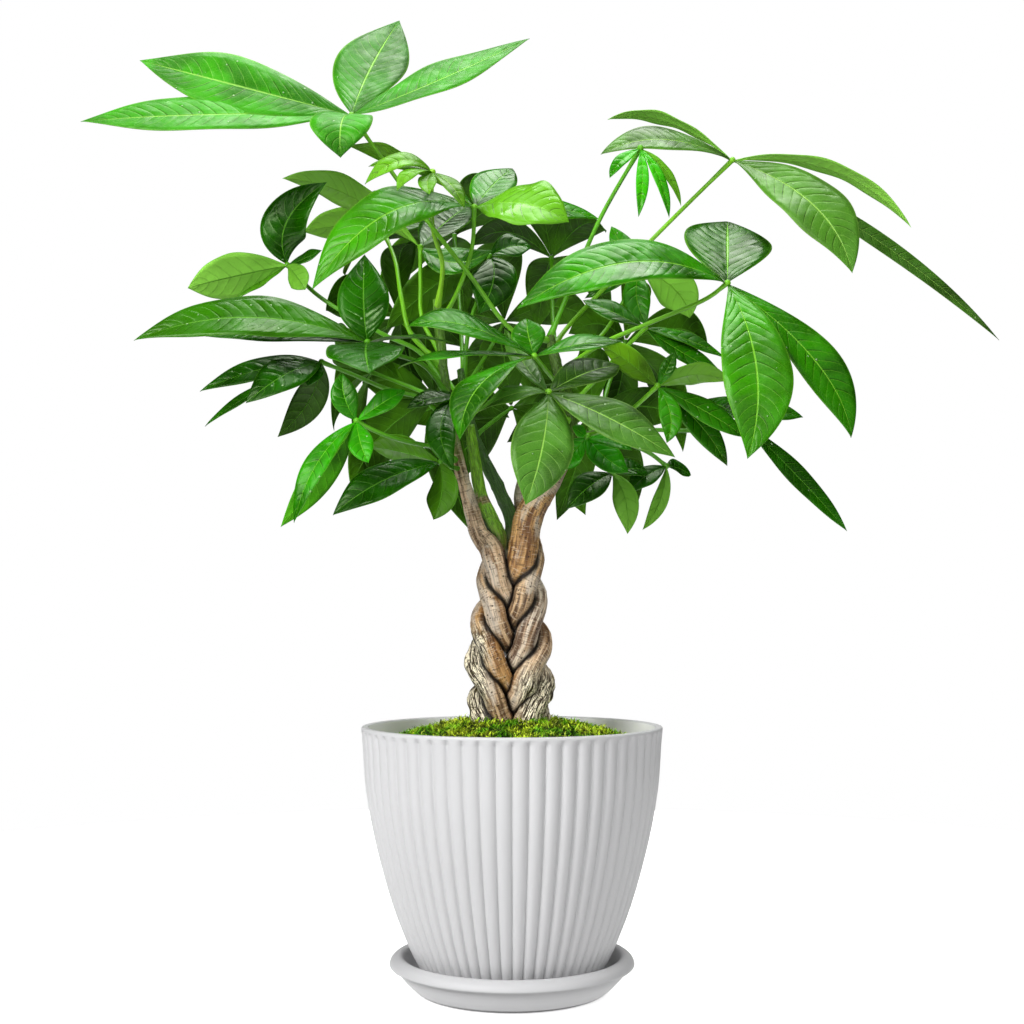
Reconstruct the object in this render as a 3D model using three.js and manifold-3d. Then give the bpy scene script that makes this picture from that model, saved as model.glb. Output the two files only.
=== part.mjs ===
// Potted money tree: five braided stems, palmate leaves, moss, soil, a ribbed pot and its saucer.
// Millimetres, +Z up. The pot's axis is the Z axis, and the saucer's flat underside lies on z = 0.
import * as THREE from "three";
import { mergeVertices } from "three/addons/utils/BufferGeometryUtils.js";
import Module from "manifold-3d";

const wasm = await Module();
wasm.setup();

// Driving dimensions
const GAP = 0.35;
const POT_RIM_Z = 142.4;
const POT_RIM_RADIUS = 82.6;
const POT_FOOT_Z = 4.2;
const POT_WALL = 4;
const POT_FLOOR = 4;
const RIBS = 60;
const RIB_DEPTH = 1.8;
const DRAIN_RADIUS = 6;
const ROUND = 40;
const FLATNESS = 0.05;
const SAUCER_LIP_RADIUS = 66.8;
const SAUCER_FLOOR_Z = POT_FOOT_Z - GAP;
const MOSS_CROWN_Z = 145.5;
const MOSS_DROP = 16;
const MOSS_THICKNESS = 5;
const MOSS_BUMP = 0.9;
const STEM_FOOT_Z = 118;
const BRAID_CYCLE = 116.7;
const BRAID_CROSSING_Z = 221;
const BRAID_SHIFT = -0.8;
const BLADE_THICKNESS = 0.7;
const BLADE_FOLD = 0.12;
const BLADE_WAVE = 0.05;
const HUB_RADIUS = 3.2;
const ROOT_START = 1.2;
const PETIOLE_STEP = 36;
const PETIOLE_SIDES = 4;

// The view that the crown's points are given in: pixels of a square picture, and millimetres of depth
// toward the viewer from the pot's axis.
const VIEW = {
  distance: 821,
  height: 203.5,
  pitch: THREE.MathUtils.degToRad(3.957),
  focal: 1479,
  centreX: 512.5,
  centreY: 512,
};

function seen([px, py, depth]) {
  const right = (px - VIEW.centreX) / VIEW.focal;
  const up = (VIEW.centreY - py) / VIEW.focal;
  const forward = Math.cos(VIEW.pitch) - up * Math.sin(VIEW.pitch);
  const rise = Math.sin(VIEW.pitch) + up * Math.cos(VIEW.pitch);
  const scale = (VIEW.distance - depth) / forward;
  return new THREE.Vector3(right * scale, -depth, VIEW.height + rise * scale);
}

// Solids

function signedVolume(geometry) {
  const p = geometry.getAttribute("position");
  const [a, b, c] = [new THREE.Vector3(), new THREE.Vector3(), new THREE.Vector3()];
  let volume = 0;
  for (let i = 0; i < geometry.index.count; i += 3) {
    a.fromBufferAttribute(p, geometry.index.getX(i));
    b.fromBufferAttribute(p, geometry.index.getX(i + 1));
    c.fromBufferAttribute(p, geometry.index.getX(i + 2));
    volume += a.dot(b.cross(c)) / 6;
  }
  return volume;
}

function solid(geometry) {
  geometry.deleteAttribute("normal");
  geometry.deleteAttribute("uv");
  const merged = mergeVertices(geometry, 1e-4);
  const triVerts = new Uint32Array(merged.index.array);
  if (signedVolume(merged) < 0) triVerts.reverse();
  const vertProperties = new Float32Array(merged.getAttribute("position").array);
  return new wasm.Manifold(new wasm.Mesh({ numProp: 3, vertProperties, triVerts }));
}

// A named mesh of a body, less the slivers that cuts and joins left: its surface moves FLATNESS at most.
function meshOf(name, body, color, roughness) {
  const { numProp, vertProperties, triVerts } = body.asOriginal().simplify(FLATNESS).getMesh();
  const geometry = new THREE.BufferGeometry();
  geometry.setAttribute("position", new THREE.BufferAttribute(new Float32Array(vertProperties), numProp));
  geometry.setIndex(new THREE.BufferAttribute(new Uint32Array(triVerts), 1));
  geometry.computeVertexNormals();
  const material = new THREE.MeshStandardMaterial({ color, roughness, metalness: 0 });
  const mesh = new THREE.Mesh(geometry, material);
  mesh.name = name;
  return mesh;
}

function union(bodies) {
  return bodies.reduce((sum, body) => sum.add(body));
}

// Reads a table of [place, value] rows between its rows.
function between(table, place) {
  const found = table.findIndex(([at]) => at >= place);
  const above = found < 0 ? table.length - 1 : Math.max(found, 1);
  const [[p0, v0], [p1, v1]] = [table[above - 1], table[above]];
  return THREE.MathUtils.mapLinear(THREE.MathUtils.clamp(place, p0, p1), p0, p1, v0, v1);
}

function largest(body) {
  return body.decompose().sort((a, b) => b.volume() - a.volume())[0];
}

// Joins rings that hold the same number of points, and closes both ends with a fan.
function loft(rings) {
  const count = rings[0].length;
  const points = rings.flat();
  const middle = (ring) => ring.reduce((sum, p) => sum.add(p), new THREE.Vector3()).divideScalar(count);
  points.push(middle(rings[0]), middle(rings.at(-1)));
  const index = [];
  for (let j = 0; j < count; j++) {
    const k = (j + 1) % count;
    for (let i = 0; i < rings.length - 1; i++) {
      const [low, high] = [i * count, (i + 1) * count];
      index.push(low + j, low + k, high + k, low + j, high + k, high + j);
    }
    const top = (rings.length - 1) * count;
    index.push(k, j, points.length - 2, top + j, top + k, points.length - 1);
  }
  return solid(new THREE.BufferGeometry().setFromPoints(points).setIndex(index));
}

// A round solid about the Z axis from [radius, z] pairs.
function turned(profile, segments) {
  const points = profile.map(([radius, z]) => new THREE.Vector2(radius, z));
  return solid(new THREE.LatheGeometry(points, segments).rotateX(Math.PI / 2));
}

// A round solid with its axis through the points and a radius at each of them.
function sweep(points, radii, sides) {
  const rings = [];
  const normal = new THREE.Vector3(0, -1, 0);
  points.forEach((centre, i) => {
    const before = points[Math.max(i - 1, 0)];
    const after = points[Math.min(i + 1, points.length - 1)];
    const tangent = after.clone().sub(before).normalize();
    normal.addScaledVector(tangent, -normal.dot(tangent)).normalize();
    const side = new THREE.Vector3().crossVectors(tangent, normal);
    const ring = [];
    for (let j = 0; j < sides; j++) {
      const angle = (2 * Math.PI * j) / sides;
      const offset = normal.clone().multiplyScalar(radii[i] * Math.cos(angle));
      ring.push(offset.addScaledVector(side, radii[i] * Math.sin(angle)).add(centre));
    }
    rings.push(ring);
  });
  return loft(rings);
}

// Pot and saucer

// Outer radius of the pot's wall at heights from the foot to the rim.
const POT_PROFILE = [
  [POT_FOOT_Z, 44],
  [14.5, 51.2],
  [34, 60.3],
  [70, 72],
  [110, 80.1],
  [137.4, 82.3],
  [140.4, POT_RIM_RADIUS],
  [POT_RIM_Z, POT_RIM_RADIUS],
];
const LAST_RIBBED_RING = 5;
const COLUMNS_PER_RIB = 2;
const POT_FLOOR_Z = POT_FOOT_Z + POT_FLOOR;

// Radius inside the pot, one wall short of the outer profile.
const CAVITY = [POT_FLOOR_Z, 24, 60, 100, POT_RIM_Z].map((z) => [z, between(POT_PROFILE, z) - POT_WALL]);

function potBody() {
  const columns = RIBS * COLUMNS_PER_RIB;
  const outer = POT_PROFILE.map(([z, radius], row) => {
    const ribbed = row > 0 && row <= LAST_RIBBED_RING;
    return Array.from({ length: columns }, (_, column) => {
      const angle = (2 * Math.PI * column) / columns;
      const r = ribbed && column % COLUMNS_PER_RIB === 0 ? radius - RIB_DEPTH : radius;
      return new THREE.Vector3(r * Math.cos(angle), r * Math.sin(angle), z);
    });
  });
  const above = POT_RIM_Z + 2;
  const walls = CAVITY.map(([z, radius]) => [radius, z]);
  const cavity = turned([[0, POT_FLOOR_Z], ...walls, [walls.at(-1)[0], above], [0, above]], ROUND);
  const drain = new THREE.CylinderGeometry(DRAIN_RADIUS, DRAIN_RADIUS, 20, 16).rotateX(Math.PI / 2);
  return loft(outer).subtract(cavity).subtract(solid(drain.translate(0, 0, POT_FLOOR_Z)));
}

function saucerBody() {
  return turned(
    [
      [0, 0],
      [49.2, 0],
      [56.8, 5.2],
      [63, 13.6],
      [66.2, 13.8],
      [SAUCER_LIP_RADIUS, 15],
      [65.6, 17.6],
      [63, 19.3],
      [60.8, 19.7],
      [59, 18.8],
      [55.5, 12],
      [47.5, SAUCER_FLOOR_Z],
      [0, SAUCER_FLOOR_Z],
    ],
    ROUND,
  );
}

// Stems

// Half the braid's width, and the strands' radius, at heights.
const BRAID_WIDTH = [
  [STEM_FOOT_Z, 15],
  [146, 15.6],
  [184, 17.8],
  [212, 14.8],
  [240, 12.8],
];
const STRAND_RADIUS = [
  [STEM_FOOT_Z, 5.8],
  [184, 5.8],
  [240, 5.3],
];
const SWELL_START_Z = 208;
const SWELL_END_Z = 238;
const BRAID_DEPTH = 9.6;
const FRONT_DELAY = 0.3;
const DIVE_HASTE = 0.5;

// A strand's place at a height: it comes steeply over the front from each side to the middle, where it
// dives behind and crosses back flatter. With a delay and a haste of 0 it would swing evenly.
function strandAt(turn, z) {
  const phase = (2 * Math.PI * (BRAID_CROSSING_Z - z)) / BRAID_CYCLE;
  const even = Math.PI / 2 + THREE.MathUtils.degToRad(turn) + phase;
  const angle = even + FRONT_DELAY * (Math.cos(2 * even) + 1);
  const swing = Math.sin(2 * angle - DIVE_HASTE * Math.sin(2 * angle));
  const x = between(BRAID_WIDTH, z) * Math.cos(angle) + BRAID_SHIFT;
  return new THREE.Vector3(x, -BRAID_DEPTH * swing, z);
}

// Each stem's share of the braid's turn, how much thicker it is at the braid's top, the height where it
// leaves the braid, and the points of its free top as [pixel x, pixel y, depth, radius].
const STEMS = [
  {
    name: "stem_1",
    turn: 0,
    swell: 2.6,
    leaves: 243,
    top: [
      [529, 518, 9, 8],
      [538, 500, 9, 7.2],
      [556, 473, 6, 5.6],
      [570, 440, 2, 4.2],
      [568, 400, 0, 3.6],
      [556, 362, 2, 3],
      [550, 335, 4, 2.4],
    ],
    color: "#8a6243",
  },
  {
    name: "stem_2",
    turn: 144,
    swell: 1,
    leaves: 240,
    top: [
      [479, 533, 2, 5],
      [470, 502, 3, 4],
      [461, 470, 2, 3.7],
      [452, 430, -2, 3.4],
      [445, 380, -8, 3],
      [440, 330, -14, 2.6],
      [437, 300, -18, 2.2],
    ],
    color: "#9a7a5c",
  },
  {
    name: "stem_3",
    turn: 72,
    swell: -1.2,
    leaves: 232,
    top: [
      [499, 542, -4, 4.6],
      [490, 518, -5, 4.7],
      [482, 496, -7, 3.5],
      [474, 452, -9, 3.2],
      [470, 425, -8, 2.6],
    ],
    color: "#6f7a3c",
  },
  {
    name: "stem_4",
    turn: 216,
    swell: -0.8,
    leaves: 219,
    top: [
      [513, 548, -15, 4.6],
      [512, 521, -14, 3.9],
      [500, 490, -17, 3.7],
      [481, 452, -24, 3.4],
      [468, 415, -30, 3.1],
      [462, 370, -36, 2.6],
    ],
    color: "#41602a",
  },
  {
    name: "stem_5",
    turn: -72,
    swell: 0,
    leaves: 240,
    top: [
      [527, 520, -16, 4.6],
      [522, 492, -22, 4.2],
      [536, 462, -26, 3.8],
      [566, 442, -26, 3.4],
      [598, 434, -22, 2.8],
      [622, 428, -18, 2.3],
    ],
    color: "#5d4a34",
  },
];
const STEM_SIDES = 8;
const BRAID_STEP = 6;

// Points of a stem's axis with the radius at each: a straight foot, its share of the braid, a free top.
function stemPath({ turn, swell, leaves, top }) {
  const foot = strandAt(turn, MOSS_CROWN_Z - 2);
  const path = [{ point: new THREE.Vector3(foot.x, foot.y, STEM_FOOT_Z), radius: STRAND_RADIUS[0][1] }];
  for (let z = foot.z; z < leaves; z += BRAID_STEP) {
    const swollen = swell * THREE.MathUtils.smoothstep(z, SWELL_START_Z, SWELL_END_Z);
    path.push({ point: strandAt(turn, z), radius: between(STRAND_RADIUS, z) + swollen });
  }
  const shown = top.map(([px, py, depth, radius]) => ({ point: seen([px, py, depth]), radius }));
  const free = [path.at(-1), ...shown];
  const curve = new THREE.CatmullRomCurve3(free.map(({ point }) => point), false, "centripetal");
  const steps = 2 * (free.length - 1);
  for (let i = 1; i <= steps; i++) {
    const along = i / 2;
    const [low, high] = [free[Math.floor(along)], free[Math.ceil(along)]];
    path.push({ point: curve.getPoint(i / steps), radius: (low.radius + high.radius) / 2 });
  }
  return path;
}

function stemBody(stem, margin) {
  const path = stemPath(stem);
  return sweep(path.map(({ point }) => point), path.map(({ radius }) => radius + margin), STEM_SIDES);
}

// Stems press flat against each other where they cross: each gives way to those before it.
function pressedStem(index) {
  const body = stemBody(STEMS[index], 0);
  const earlier = STEMS.slice(0, index).map((stem) => stemBody(stem, GAP));
  return index === 0 ? body : largest(body.subtract(union(earlier)));
}

// The stem's axis where it first reaches a height, or its top.
function onStem(number, z) {
  const points = stemPath(STEMS[number - 1]).map(({ point }) => point);
  const above = points.findIndex((p) => p.z >= z);
  if (above < 0) return points.at(-2);
  const [low, high] = [points[above - 1], points[above]];
  return low.clone().lerp(high, (z - low.z) / (high.z - low.z));
}

// Soil and moss

// Radii of the rings that the soil's top and the moss's underside share.
const EDGE_RADIUS = between(CAVITY, MOSS_CROWN_Z - MOSS_DROP - MOSS_THICKNESS) - 2 * GAP;
const SOIL_COLUMNS = ROUND / 2;
const SHARED_RADII = [20, 50, EDGE_RADIUS];
const MOSS_RADII = [EDGE_RADIUS - 1, 64, 50, 36, 22, 8];

function soilZ(radius) {
  return MOSS_CROWN_Z - MOSS_THICKNESS - MOSS_DROP * (radius / EDGE_RADIUS) ** 2;
}

function mossZ(x, y) {
  const bumps = Math.sin(x * 0.31 + 1.3) * Math.cos(y * 0.27) + Math.sin((x - y) * 0.19 + 2.1);
  return soilZ(Math.hypot(x, y)) + MOSS_THICKNESS + MOSS_BUMP * bumps;
}

function ring(radius, height) {
  return Array.from({ length: SOIL_COLUMNS }, (_, i) => {
    const angle = (2 * Math.PI * i) / SOIL_COLUMNS;
    const [x, y] = [radius * Math.cos(angle), radius * Math.sin(angle)];
    return new THREE.Vector3(x, y, height(x, y));
  });
}

function mossBody() {
  const under = SHARED_RADII.map((radius) => ring(radius, () => soilZ(radius) + GAP));
  return loft([...under, ...MOSS_RADII.map((radius) => ring(radius, mossZ))]);
}

function soilBody() {
  const walls = CAVITY.slice(0, -1).map(([z, radius]) => ring(radius - GAP, () => z + GAP));
  const top = SHARED_RADII.toReversed().map((radius) => ring(radius, () => soilZ(radius)));
  return loft([...walls, ...top]);
}

// Leaves

// Radius of a petiole from the whorl to its root on the stem.
const PETIOLE_RADIUS = [
  [0, 1.25],
  [0.85, 1.4],
  [1, 2],
];

// Share of a blade's half width at shares of its length, for broad blades and for narrow ones.
const BROAD_OUTLINE = [
  [0.12, 0.33],
  [0.32, 0.85],
  [0.57, 1],
  [0.82, 0.57],
];
const NARROW_OUTLINE = [
  [0.22, 0.58],
  [0.52, 1],
  [0.8, 0.6],
];
const BROAD_HALF_WIDTH = 14;

// A folded, slightly waved blade from its root through the bend to its tip. Its upper face looks along
// the facing vector as nearly as its midrib lets it.
function bladeBody(root, { tip, bend, half, facing }) {
  const control = bend.clone().multiplyScalar(2).sub(root.clone().add(tip).multiplyScalar(0.5));
  const midrib = new THREE.QuadraticBezierCurve3(root, control, tip);
  const upper = [];
  const lower = [];
  const outline = half < BROAD_HALF_WIDTH ? NARROW_OUTLINE : BROAD_OUTLINE;
  const stations = [[ROOT_START / midrib.getLength(), 0], ...outline, [1, 0]];
  stations.forEach(([along, share], row) => {
    const centre = midrib.getPoint(along);
    const tangent = midrib.getTangent(along);
    const normal = facing.clone().addScaledVector(tangent, -facing.dot(tangent)).normalize();
    const side = new THREE.Vector3().crossVectors(tangent, normal);
    const width = half * share;
    for (const across of share === 0 ? [0] : [-1, 0, 1]) {
      const wave = across === 0 ? 0 : BLADE_WAVE * half * Math.sin(2.3 * row + across);
      const lift = Math.abs(across) * BLADE_FOLD * width + wave;
      const point = centre.clone().addScaledVector(side, across * width).addScaledVector(normal, lift);
      upper.push(point.clone().addScaledVector(normal, BLADE_THICKNESS / 2));
      lower.push(point.addScaledVector(normal, -BLADE_THICKNESS / 2));
    }
  });
  const geometry = new THREE.BufferGeometry().setFromPoints([...upper, ...lower]);
  return solid(geometry.setIndex(bladeFaces(outline.length)));
}

// Triangles of a blade: the lower face repeats the upper one's, turned round, and a wall joins them.
function bladeFaces(rows) {
  const last = 3 * rows + 1;
  const count = last + 1;
  const at = (row, column) => 1 + 3 * row + column;
  const face = [
    [0, at(0, 0), at(0, 1)],
    [0, at(0, 1), at(0, 2)],
    [at(rows - 1, 0), last, at(rows - 1, 1)],
    [at(rows - 1, 1), last, at(rows - 1, 2)],
  ];
  for (let row = 0; row < rows - 1; row++) {
    for (let column = 0; column < 2; column++) {
      const [a, b] = [at(row, column), at(row, column + 1)];
      const [c, d] = [at(row + 1, column), at(row + 1, column + 1)];
      face.push([a, c, d], [a, d, b]);
    }
  }
  const rim = [0];
  for (let row = 0; row < rows; row++) rim.push(at(row, 0));
  rim.push(last);
  for (let row = rows - 1; row >= 0; row--) rim.push(at(row, 2));
  const wall = rim.flatMap((a, i) => {
    const b = rim[(i + 1) % rim.length];
    return [a, a + count, b + count, a, b + count, b];
  });
  const under = face.map(([a, b, c]) => [a + count, c + count, b + count]);
  return [...face.flat(), ...under.flat(), ...wall];
}

// A facing given as degrees to the viewer's right and degrees up; 0, 0 looks at the viewer.
function facingOf([across, up]) {
  const [a, u] = [THREE.MathUtils.degToRad(across), THREE.MathUtils.degToRad(up)];
  return new THREE.Vector3(Math.sin(a) * Math.cos(u), -Math.cos(a) * Math.cos(u), Math.sin(u));
}

function leafBody({ hub, petiole, blades }) {
  const knob = solid(new THREE.OctahedronGeometry(HUB_RADIUS).translate(hub.x, hub.y, hub.z));
  const curve = new THREE.CatmullRomCurve3([hub, ...petiole], false, "centripetal");
  const steps = Math.max(3, Math.round(curve.getLength() / PETIOLE_STEP));
  const radii = Array.from({ length: steps + 1 }, (_, i) => between(PETIOLE_RADIUS, i / steps));
  const stalk = sweep(curve.getSpacedPoints(steps), radii, PETIOLE_SIDES);
  return union([stalk, knob, ...blades.map((blade) => bladeBody(hub, blade))]);
}

// The leaves that the picture shows. A hub, a tip, a bend halfway along a blade and the points of a
// petiole's way are [pixel x, pixel y, depth]. stem is [stem number, height of the petiole's root].
// half is half a blade's width, and face is where its upper side looks: see facingOf.
const MATURE = "#3f8a2a";
const DEEP = "#2f6f22";
const FRESH = "#57b52a";
const YOUNG = "#96d22f";
const LEAVES = [
  {
    name: "leaf_01",
    color: FRESH,
    stem: [1, 356],
    hub: [352, 115, 5],
    petiole: [[385, 162, 10], [431, 225, 20], [470, 275, 20], [515, 332, 14]],
    blades: [
      { tip: [140, 60, 15], bend: [240, 86, 20], half: 20, face: [0, 26] },
      { tip: [81, 121, 45], bend: [215, 114, 34], half: 18, face: [0, 38] },
      { tip: [400, 20, -55], bend: [371, 68, -22], half: 21, face: [0, 20] },
      { tip: [530, 38, -12], bend: [434, 82, 2], half: 18, face: [0, 50] },
      { tip: [341, 158, 44], bend: [342, 122, 42], half: 17, face: [0, 22] },
    ],
  },
  {
    name: "leaf_02",
    color: YOUNG,
    stem: [2, 378],
    hub: [433, 172, 48],
    petiole: [[432, 200, 28], [434, 232, 8], [443, 265, -6]],
    blades: [
      { tip: [365, 184, 62], bend: [402, 160, 58], half: 7, face: [0, 40] },
      { tip: [369, 166, 50], bend: [403, 163, 46], half: 5, face: [0, 30] },
      { tip: [397, 191, 68], bend: [412, 172, 64], half: 5, face: [-20, 20] },
      { tip: [430, 194, 72], bend: [428, 181, 64], half: 5, face: [0, 20] },
      { tip: [465, 208, 66], bend: [452, 185, 62], half: 5, face: [20, 30] },
    ],
  },
  {
    name: "leaf_03",
    color: MATURE,
    stem: [2, 370],
    hub: [475, 207, 30],
    petiole: [[472, 250, 14], [454, 300, -4]],
    blades: [
      { tip: [312, 290, 64], bend: [390, 212, 60], half: 19, face: [0, 42] },
      { tip: [347, 145, -20], bend: [418, 168, -6], half: 15, face: [180, 74] },
      { tip: [513, 168, -12], bend: [494, 184, 8], half: 12, face: [0, 32] },
      { tip: [570, 222, 62], bend: [524, 203, 58], half: 18, face: [10, 26] },
      { tip: [600, 219, -16], bend: [543, 206, 4], half: 15, face: [0, 45] },
    ],
  },
  {
    name: "leaf_04",
    color: MATURE,
    stem: [2, 350],
    hub: [421, 247, -30],
    petiole: [[421, 285, -24], [423, 320, -18]],
    blades: [
      { tip: [283, 178, -46], bend: [352, 196, -40], half: 14, face: [180, 62] },
      { tip: [492, 250, -18], bend: [455, 262, -24], half: 13, face: [0, 40] },
      { tip: [470, 205, -100], bend: [446, 222, -66], half: 14, face: [0, 40] },
    ],
  },
  {
    name: "leaf_05",
    color: MATURE,
    stem: [2, 344],
    hub: [386, 236, -68],
    petiole: [[396, 262, -40], [402, 298, -18], [412, 335, -10]],
    blades: [
      { tip: [304, 232, -76], bend: [347, 226, -72], half: 13, face: [180, 50] },
      { tip: [345, 275, -100], bend: [360, 250, -80], half: 13, face: [0, 40] },
      { tip: [440, 215, -140], bend: [415, 218, -100], half: 14, face: [0, 30] },
      { tip: [375, 190, -130], bend: [380, 208, -95], half: 14, face: [0, 30] },
    ],
  },
  {
    name: "leaf_06",
    color: DEEP,
    stem: [2, 333],
    hub: [288, 265, -20],
    petiole: [[313, 291, -18], [337, 308, -14], [385, 335, -12], [420, 352, -10]],
    blades: [
      { tip: [327, 182, -4], bend: [287, 222, -12], half: 15, face: [0, 25] },
      { tip: [188, 288, 6], bend: [234, 276, -4], half: 13, face: [180, 30] },
      { tip: [226, 303, -10], bend: [258, 280, -16], half: 7, face: [0, 44] },
      { tip: [322, 250, -10], bend: [305, 258, -14], half: 6, face: [0, 40] },
      { tip: [306, 290, -2], bend: [298, 277, -8], half: 7, face: [180, 20] },
    ],
  },
  {
    name: "leaf_07",
    color: DEEP,
    stem: [2, 328],
    hub: [368, 342, 40],
    petiole: [[395, 354, 28], [425, 366, 8]],
    blades: [
      { tip: [365, 254, 22], bend: [364, 303, 38], half: 14, face: [0, 12] },
      { tip: [134, 340, 56], bend: [250, 317, 54], half: 16, face: [0, 38] },
      { tip: [370, 373, 98], bend: [366, 352, 76], half: 20, face: [0, 55] },
      { tip: [455, 343, 44], bend: [412, 337, 46], half: 11, face: [0, 78] },
      { tip: [312, 330, 10], bend: [340, 330, 24], half: 8, face: [180, 60] },
      { tip: [206, 336, 22], bend: [272, 334, 28], half: 7, face: [0, 44] },
    ],
  },
  {
    name: "leaf_08",
    color: DEEP,
    stem: [2, 306],
    hub: [322, 362, 14],
    petiole: [[352, 374, 8], [390, 390, 2], [425, 400, -2]],
    blades: [
      { tip: [200, 391, 22], bend: [264, 368, 22], half: 10, face: [0, 45] },
      { tip: [246, 403, 46], bend: [286, 374, 38], half: 12, face: [0, 35] },
      { tip: [205, 426, -6], bend: [258, 390, 0], half: 9, face: [0, 60] },
      { tip: [278, 437, -14], bend: [310, 400, -4], half: 9, face: [180, 25] },
      { tip: [308, 386, 26], bend: [313, 373, 24], half: 6, face: [0, 30] },
    ],
  },
  {
    name: "leaf_09",
    color: FRESH,
    stem: [2, 288],
    hub: [357, 421, 60],
    petiole: [[378, 432, 54], [405, 441, 40], [435, 448, 20]],
    blades: [
      { tip: [343, 373, 58], bend: [345, 397, 62], half: 7, face: [0, 10] },
      { tip: [406, 390, 62], bend: [384, 402, 64], half: 7, face: [0, 35] },
      { tip: [369, 463, 76], bend: [361, 443, 72], half: 6.5, face: [0, 15] },
      { tip: [294, 523, 82], bend: [318, 462, 80], half: 7, face: [-20, 25] },
      { tip: [281, 527, 58], bend: [322, 474, 58], half: 8, face: [180, 30] },
    ],
  },
  {
    name: "leaf_10",
    color: DEEP,
    stem: [2, 284],
    hub: [441, 462, 30],
    petiole: [[449, 466, 16]],
    blades: [
      { tip: [333, 515, 54], bend: [384, 480, 50], half: 12, face: [0, 40] },
      { tip: [434, 520, 40], bend: [443, 492, 36], half: 10, face: [150, 10] },
      { tip: [370, 446, -8], bend: [405, 452, 10], half: 11, face: [180, 35] },
    ],
  },
  {
    name: "leaf_11",
    color: DEEP,
    stem: [2, 312],
    hub: [455, 396, 12],
    petiole: [[452, 400, 0]],
    blades: [
      { tip: [407, 408, 26], bend: [432, 398, 22], half: 8, face: [0, 50] },
      { tip: [455, 470, 50], bend: [441, 430, 42], half: 8, face: [0, 30] },
      { tip: [421, 392, -4], bend: [438, 397, 2], half: 6, face: [0, 40] },
      { tip: [500, 402, -6], bend: [478, 394, 6], half: 9, face: [0, 50] },
    ],
  },
  {
    name: "leaf_12",
    color: MATURE,
    stem: [1, 330],
    hub: [535, 356, 55],
    petiole: [[548, 372, 38], [560, 386, 16]],
    blades: [
      { tip: [408, 326, 76], bend: [462, 324, 74], half: 13, face: [0, 52] },
      { tip: [398, 368, 56], bend: [450, 355, 62], half: 10, face: [0, 70] },
      { tip: [460, 440, 104], bend: [481, 384, 96], half: 13, face: [-35, 20] },
      { tip: [527, 318, 46], bend: [529, 336, 54], half: 9, face: [0, 20] },
      { tip: [625, 341, 50], bend: [580, 344, 56], half: 11, face: [0, 60] },
    ],
  },
  {
    name: "leaf_13",
    color: MATURE,
    stem: [1, 312],
    hub: [549, 392, 70],
    petiole: [[560, 408, 45], [568, 422, 18]],
    blades: [
      { tip: [526, 505, 104], bend: [543, 446, 96], half: 15.5, face: [5, 10] },
      { tip: [676, 457, 96], bend: [612, 419, 92], half: 13, face: [0, 42] },
      { tip: [475, 414, 72], bend: [512, 394, 78], half: 10, face: [0, 60] },
      { tip: [620, 365, 36], bend: [588, 372, 54], half: 12, face: [0, 45] },
      { tip: [505, 328, 14], bend: [523, 361, 26], half: 6, face: [0, 40] },
    ],
  },
  {
    name: "leaf_14",
    color: MATURE,
    stem: [1, 338],
    hub: [728, 283, 55],
    petiole: [[708, 298, 50], [650, 323, 36], [600, 345, 20]],
    blades: [
      { tip: [728, 221, 8], bend: [728, 245, 30], half: 24, face: [0, 15] },
      { tip: [517, 309, 84], bend: [628, 262, 80], half: 19, face: [0, 40] },
      { tip: [748, 459, 104], bend: [757, 368, 92], half: 18, face: [5, 10] },
      { tip: [852, 438, 62], bend: [817, 362, 66], half: 15, face: [25, 20] },
    ],
  },
  {
    name: "leaf_15",
    color: MATURE,
    stem: [1, 352],
    hub: [733, 160, -10],
    petiole: [[675, 217, -12], [607, 286, -14], [570, 325, -8]],
    blades: [
      { tip: [608, 119, -26], bend: [668, 121, -22], half: 9, face: [180, 84] },
      { tip: [601, 154, 14], bend: [664, 139, 8], half: 13, face: [0, 44] },
      { tip: [912, 227, 4], bend: [834, 170, 2], half: 9, face: [180, 82] },
      { tip: [853, 273, 34], bend: [813, 204, 22], half: 18, face: [10, 15] },
      { tip: [1000, 340, -40], bend: [878, 240, -34], half: 6.5, face: [0, 28] },
    ],
  },
  {
    name: "leaf_16",
    color: FRESH,
    stem: [1, 358],
    hub: [641, 148, 30],
    petiole: [[600, 220, 12], [570, 290, 4]],
    blades: [
      { tip: [610, 178, 40], bend: [622, 160, 38], half: 4, face: [-20, 20] },
      { tip: [639, 217, 46], bend: [643, 180, 42], half: 3.5, face: [0, 10] },
      { tip: [670, 218, 40], bend: [660, 178, 40], half: 3.5, face: [20, 10] },
      { tip: [682, 206, 26], bend: [667, 172, 30], half: 3.2, face: [30, 10] },
    ],
  },
  {
    name: "leaf_17",
    color: MATURE,
    stem: [1, 330],
    hub: [641, 268, -34],
    petiole: [[612, 322, -32], [588, 352, -18]],
    blades: [
      { tip: [612, 226, -44], bend: [624, 247, -40], half: 7, face: [0, 30] },
      { tip: [648, 325, -18], bend: [637, 297, -24], half: 8, face: [-10, 15] },
      { tip: [690, 318, -44], bend: [676, 290, -38], half: 12, face: [180, 30] },
      { tip: [585, 298, -44], bend: [612, 284, -40], half: 6, face: [0, 40] },
    ],
  },
  {
    name: "leaf_18",
    color: MATURE,
    stem: [1, 318],
    hub: [646, 328, 4],
    petiole: [[622, 352, 4], [592, 384, 4]],
    blades: [
      { tip: [726, 358, -10], bend: [690, 340, -2], half: 8, face: [0, 50] },
      { tip: [725, 375, 0], bend: [686, 354, 4], half: 8, face: [0, 40] },
      { tip: [583, 300, -4], bend: [612, 311, 2], half: 8, face: [0, 45] },
    ],
  },
  {
    name: "leaf_19",
    color: MATURE,
    stem: [5, 305],
    hub: [658, 386, 34],
    petiole: [[634, 408, 24], [608, 428, 2]],
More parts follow.
